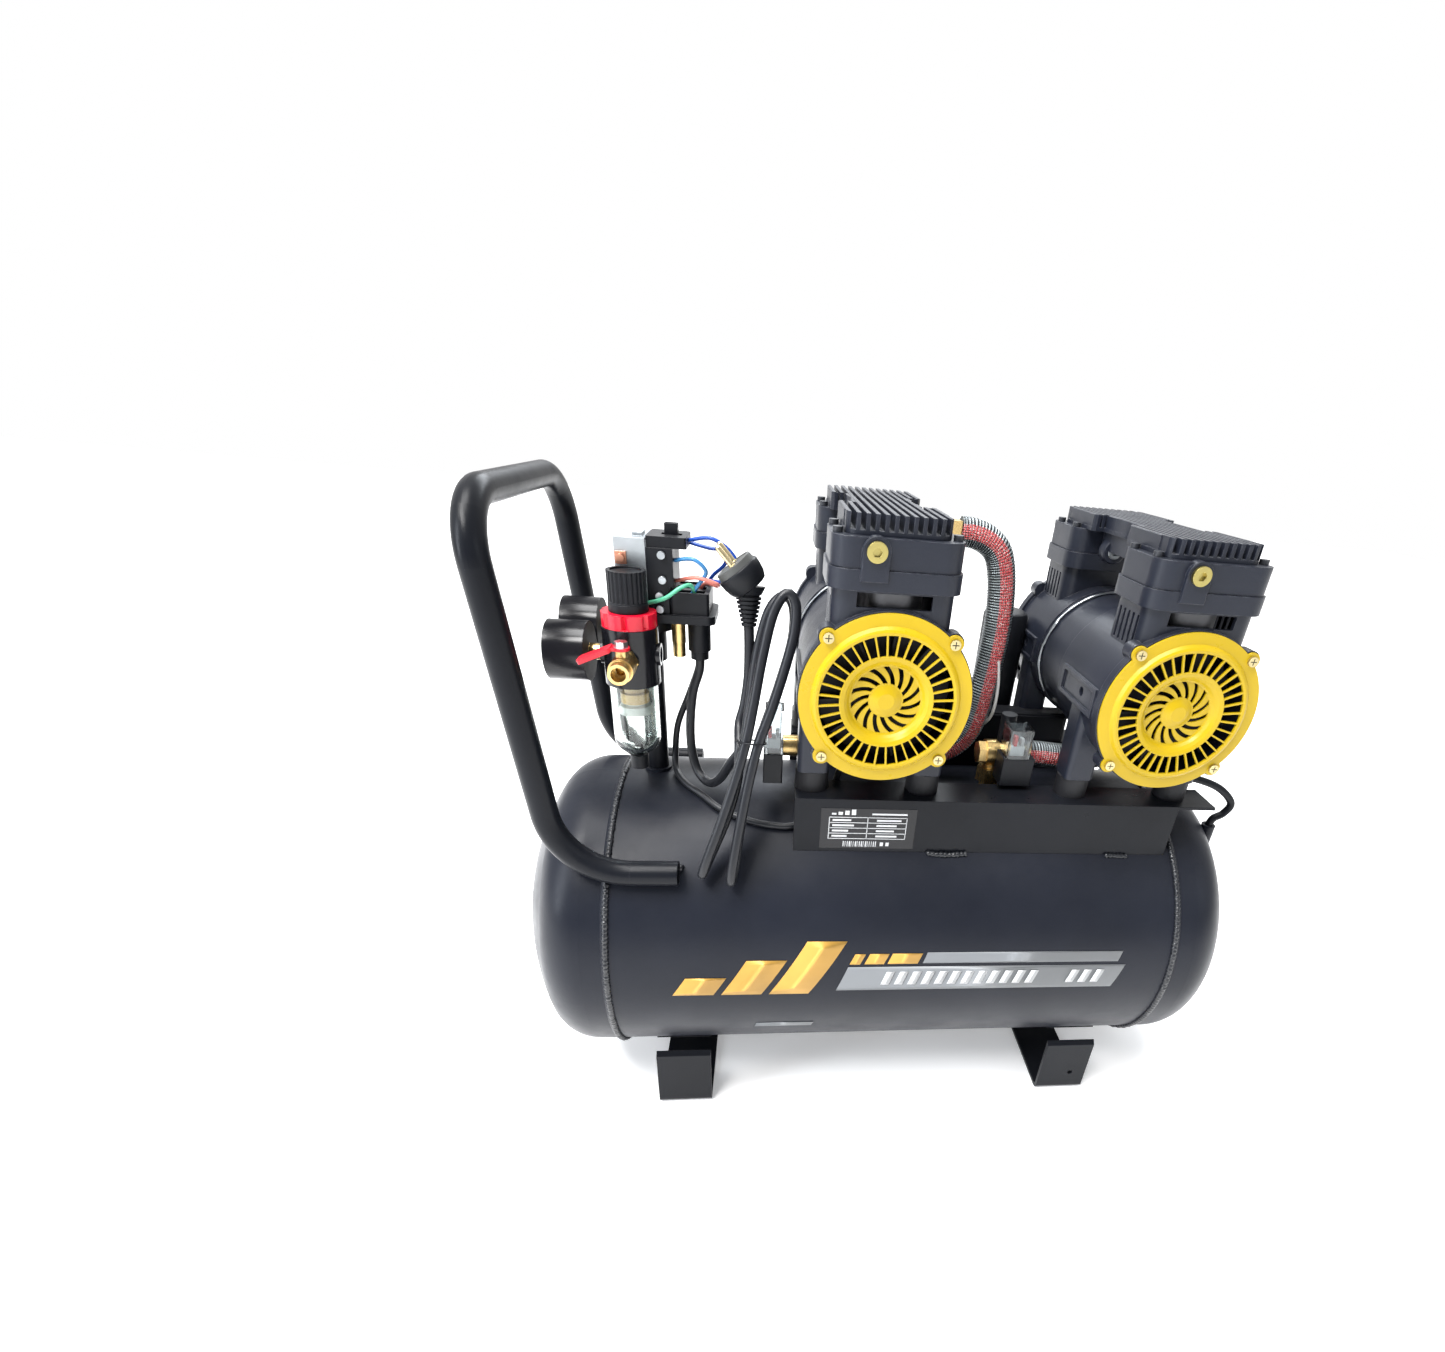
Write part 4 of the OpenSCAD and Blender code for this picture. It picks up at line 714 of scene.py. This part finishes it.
def make_tank_prints():
    """Plain bars and blocks where the tank has its lettering."""
    film("emblem_bars", [(-215, -178, 186, 206, 12), (-171, -134, 186, 224, 23), (-127, -90, 186, 242, 34)],
         MATS["gold"])
    film("gold_blocks",
         [(-53, -43, 219.2, 229.6, 5), (-39, -20.5, 219.4, 229.8, 5), (-17, 12, 219.6, 230, 4.5)],
         MATS["gold"])
    film("silver_stripe", [(17, 214, 220, 231, 4)], MATS["silver"])
    film("small_label", [(-140, -84, 130.5, 138.5, 2)], MATS["silver"])
    film("silver_panel", [(-64, 213, 189.5, 216.5, 10)], MATS["silver"])
    pitch = 13
    marks = [(left, left + 8, 196, 211, 5) for start, count in ((-22, 12), (163, 3))
             for left in range(start, start + count * pitch, pitch)]
    film("panel_marks", marks, MATS["pale"], lift=0.55)


def make_rating_plate():
    """Generic rating plate on the front rail: a black film with a ruled table and a bar pattern."""
    y = RAIL_FACE
    slab_set("rating_film", [(-84, 5, y - 0.25, y - 0.02, 313, 356)], MATS["gloss"])
    rows = [346.6, 341.0, 335.3, 329.6, 323.9]
    lines = [(-76, -4, y - 0.40, y - 0.2, z - 0.35, z + 0.35) for z in rows]
    lines += [(x - 0.35, x + 0.35, y - 0.40, y - 0.2, 323.6, 346.9) for x in (-76, -40.5, -4)]
    for k in range(4):
        z = rows[k] - 3.9
        lines += [(-73, -73 + (17, 20, 15, 14)[k], y - 0.36, y - 0.2, z, z + 1.9),
                  (-32, -32 + (23, 19, 17, 20)[k], y - 0.36, y - 0.2, z, z + 1.9)]
    lines += [(-74 + 6 * k, -70 + 6 * k, y - 0.36, y - 0.2, 349.2, 351 + 1.3 * k) for k in range(4)]
    lines += [(-37, -4, y - 0.36, y - 0.2, 349.4, 351.2)]
    lines += [(-62 + 1.9 * k, -62 + 1.9 * k + random.choice((0.6, 0.9, 1.2)), y - 0.36, y - 0.2, 315.2, 321.0)
              for k in range(17)]
    lines += [(-27 + 5.5 * k, -24 + 5.5 * k, y - 0.36, y - 0.2, 316.0, 320.0) for k in range(2)]
    slab_set("rating_lines", lines, MATS["pale"])


make_tank_prints()
make_rating_plate()

# ---------------------------------------------------------------- welds


def weld(name, points, radius, seed):
    """Painted weld bead: a rippled, slightly wandering tube sunk in the joint."""
    rng = random.Random(seed)
    path = spline([mm(*p) for p in points], 1.0 * MM)
    path = [p + Vector([rng.uniform(-0.25, 0.25) for _ in range(3)]) * MM for p in path]

    def rippled(d):
        turn = 2 * math.pi * d
        return (radius + 0.35 * math.sin(turn / 0.0042) + 0.2 * math.sin(turn / 0.013)) * MM

    tube(name, path, rippled, MATS["weld"], sides=10)


def make_welds():
    """Beads below the saddle rails, along the handle's feet and round the tank's two seams."""
    for side in (-1, 1):
        label = "front" if side < 0 else "rear"
        y = side * 91.5
        low = TANK_Z + math.sqrt(TANK_R ** 2 - y ** 2)
        weld(f"rail_weld_{label}_a", [(20, side * 94, low - 1.5), (36, side * 95.5, low - 2.5),
                                      (58, side * 94.5, low - 1.5)], 2.6, 3 + side)
        weld(f"rail_weld_{label}_b", [(200, side * 94, low - 1.5), (222, side * 94.5, low - 2)],
             2.3, 9 + side)
        foot = [(x, side * 107.6, 298.6 + 0.8 * math.sin(x / 7)) for x in range(-290, -200, 12)]
        weld(f"handle_weld_{label}", foot, 3.0, 20 + side)
    seam_r, seam_x = TANK_R + 0.3, 271.5
    for label, x, seed in (("left", -seam_x, 41), ("right", seam_x, 43)):
        turns = [math.radians(degrees) for degrees in range(0, 361, 3)]
        ring = [(x, seam_r * math.sin(a), TANK_Z + seam_r * math.cos(a)) for a in turns]
        weld(f"seam_bead_{label}", ring, 2.7, seed)


make_welds()

# ---------------------------------------------------------------- small parts


def make_capacitors():
    """Capacitor box and can on the rear rail, seen in the gap between the pumps, and a pale lead."""
    slab_set("capacitor_box", [(34, 196, 50, 74, 365.4, 400)], MATS["plastic"], soft=2.5)
    slab_set("capacitor_lid", [(38, 192, 48.5, 50.5, 369, 397)], MATS["plastic"], soft=0.8)
    lathe("capacitor_can", mm(120, 99, 365.4), (0, 0, 1),
          [(0, 0.023), (0.004, 0.024), (0.128, 0.024), (0.132, 0.0225), (0.134, 0.019), (0.1342, 0.001)],
          MATS["plastic"])
    route = [(84, 48.5, 388), (80, 34, 388), (86, 14, 398), (88, -8, 420), (87, -13, 450), (82, -15, 476)]
    path = spline([mm(*p) for p in route], 2 * MM)
    lead = tube("pale_lead", path, PALE_D / 2, MATS["wire_white"], sides=10)


def make_dial_marks():
    """Tick marks on the two gauge dials, on the faces turned to the left."""
    ticks, half = 40, 0.35
    for index, (y0, z0) in enumerate(((-38, 473), (16, 480))):
        slabs = []
        for k in range(ticks + 1):
            a = math.radians(225 - 270 * k / ticks)
            side, up = -math.cos(a), math.sin(a)
            inner, dots = (18.4, 3) if k % 5 == 0 else (20.2, 2)
            for r in [inner + 0.9 * n for n in range(dots)]:
                y, z = y0 + side * r, z0 + up * r
                slabs.append((-308.95, -308.6, y - half, y + half, z - half, z + half))
        slab_set(f"dial_marks_{index + 1}", slabs, MATS["plastic"])


def make_terminal_inside():
    """Coloured wire ends inside the two clear connector caps."""
    for side, x0 in (("left", -128.0), ("right", 100.5)):
        slab_set(f"connector_core_{side}", [(x0 - 7, x0 + 7, -61, -50, 398.5, 409)], MATS["white"],
                 soft=1.2)
        slab_set(f"connector_red_{side}", [(x0 - 5, x0 - 1.5, -62, -56, 409, 419)], MATS["wire_red"],
                 soft=0.8)
        slab_set(f"connector_pale_{side}", [(x0 + 1.5, x0 + 5, -62, -56, 409, 417)], MATS["wire_white"],
                 soft=0.8)


def make_stator_highlights():
    """Painted highlight: a bright zinc line round each stator, wavering along its length, standing in for the
    reflections on the black stator.
    """
    highlight_r, highlight_y, steps = 66.9, 37.2, 88

    def streak_radius(d):
        return 0.0013 + 0.0004 * math.sin(d * 230) * math.sin(d * 61)

    for seed, (label, x) in enumerate(PUMPS.items()):
        rng = random.Random(70 + seed)
        wander = [rng.uniform(-1.0, 1.0) for _ in range(12)]
        arc = []
        for k in range(steps + 1):
            a = math.radians(-125 + 250 * k / steps)
            shift = 1.6 * math.sin(3 * a) + 0.8 * wander[k // 8]
            arc.append(mm(x + highlight_r * math.sin(a), highlight_y + shift, SHAFT_Z + highlight_r * math.cos(a)))
        # painted highlight: a bright metal line where the stator only reflects light
        tube(f"{label}_stator_highlight", spline(arc, 2 * MM), streak_radius, MATS["zinc"], sides=8)


def make_head_details():
    """Silver port in the right pump's rear head, and the raised lips above the fan covers."""
    to_front = (0, -1, 0)
    lathe("right_port", mm(193, 42, 575), to_front,
          [(0, 0.0115), (0.010, 0.0115), (0.0115, 0.0105), (0.0117, 0.0075), (0.0117, 0.0070),
           (0.006, 0.0066), (0.006, 0.0005)], MATS["pump"])
    lathe("right_port_plug", mm(193, 36, 575), to_front,
          [(0, 0.0069), (0.0055, 0.0069), (0.0062, 0.0062), (0.0062, 0.0035), (0.0040, 0.0032),
           (0.0040, 0.0003)], MATS["zinc"], sides=32)
    lip_r, lip_y = 68.5, -117.6
    turns = [math.radians(degrees) for degrees in range(-44, 45, 4)]
    for label, x in PUMPS.items():
        arc = [mm(x + lip_r * math.sin(a), lip_y, SHAFT_Z + lip_r * math.cos(a)) for a in turns]
        tube(f"{label}_head_lip", arc, 0.0012, MATS["pump"], sides=8)


make_capacitors()
make_dial_marks()
make_head_details()
# painted highlights on the two stators
make_stator_highlights()
make_terminal_inside()

# ---------------------------------------------------------------- stage and light


def make_stage():
    """White paper floor."""
    size = 6.0
    verts = [(-size, -size, 0), (size, -size, 0), (size, size, 0), (-size, size, 0)]
    mesh = bpy.data.meshes.new("floor")
    mesh.from_pydata(verts, [], [(0, 1, 2, 3)])
    s = Shader("floor_paper", (0.92, 0.92, 0.92), 0.9, Specular_IOR_Level=0.1, Emission_Strength=0.25)
    s.set("Emission Color", (1, 1, 1, 1))
    s.set("Base Color", s.mix(s.noise(3), (0.91, 0.91, 0.91), (0.93, 0.93, 0.93)))
    mesh.materials.append(s.mat)
    floor = bpy.data.objects.new("floor", mesh)
    bpy.context.collection.objects.link(floor)


def area_light(name, place, aim, size, power, color):
    data = bpy.data.lights.new(name, "AREA")
    data.shape, data.size, data.size_y = "RECTANGLE", *size
    data.energy, data.color = power, color
    light = bpy.data.objects.new(name, data)
    bpy.context.collection.objects.link(light)
    light.location = place
    light.rotation_euler = (Vector(aim) - Vector(place)).to_track_quat("-Z", "Y").to_euler()


def make_light():
    """Studio: a world that is grey in front of the object and white behind it, four soft boxes and a sun."""
    world = bpy.data.worlds.new("studio")
    bpy.context.scene.world = world
    world.use_nodes = True
    nodes, links = world.node_tree.nodes, world.node_tree.links
    back = nodes["Background"]
    direction = nodes.new("ShaderNodeTexCoord")
    part = nodes.new("ShaderNodeSeparateXYZ")
    ramp = nodes.new("ShaderNodeValToRGB")
    links.new(direction.outputs["Generated"], part.inputs[0])
    spread = nodes.new("ShaderNodeMapRange")
    spread.inputs["From Min"].default_value, spread.inputs["From Max"].default_value = -0.95, 0.30
    links.new(part.outputs[1], spread.inputs[0])
    links.new(spread.outputs[0], ramp.inputs[0])
    links.new(ramp.outputs[0], back.inputs[0])
    ramp.color_ramp.elements[0].color = (0.26, 0.275, 0.30, 1)
    ramp.color_ramp.elements[0].position = 0.0
    ramp.color_ramp.elements[1].color = (1.0, 1.0, 1.0, 1)
    ramp.color_ramp.elements[1].position = 1.0
    back.inputs[1].default_value = 1.0
    area_light("key", (-1.1, -0.9, 2.3), (0, 0, 0.35), (1.3, 0.5), 78, (1, 0.99, 0.98))
    area_light("fill", (1.9, -1.4, 1.4), (0, 0, 0.35), (1.0, 1.0), 5, (0.88, 0.94, 1))
    area_light("rim", (0.2, 1.8, 1.9), (0, 0, 0.4), (1.6, 0.6), 34, (0.90, 0.95, 1))
    area_light("edge", (-2.1, -0.9, 1.1), (-0.25, 0, 0.3), (0.5, 1.3), 30, (0.86, 0.92, 1))
    sun = bpy.data.lights.new("overhead", "SUN")
    sun.energy, sun.angle = 3.4, math.radians(30)
    overhead = bpy.data.objects.new("overhead", sun)
    bpy.context.collection.objects.link(overhead)
    overhead.rotation_euler = (math.radians(3), math.radians(-10), 0)
    bpy.context.scene.view_settings.view_transform = "Standard"


make_stage()
make_light()
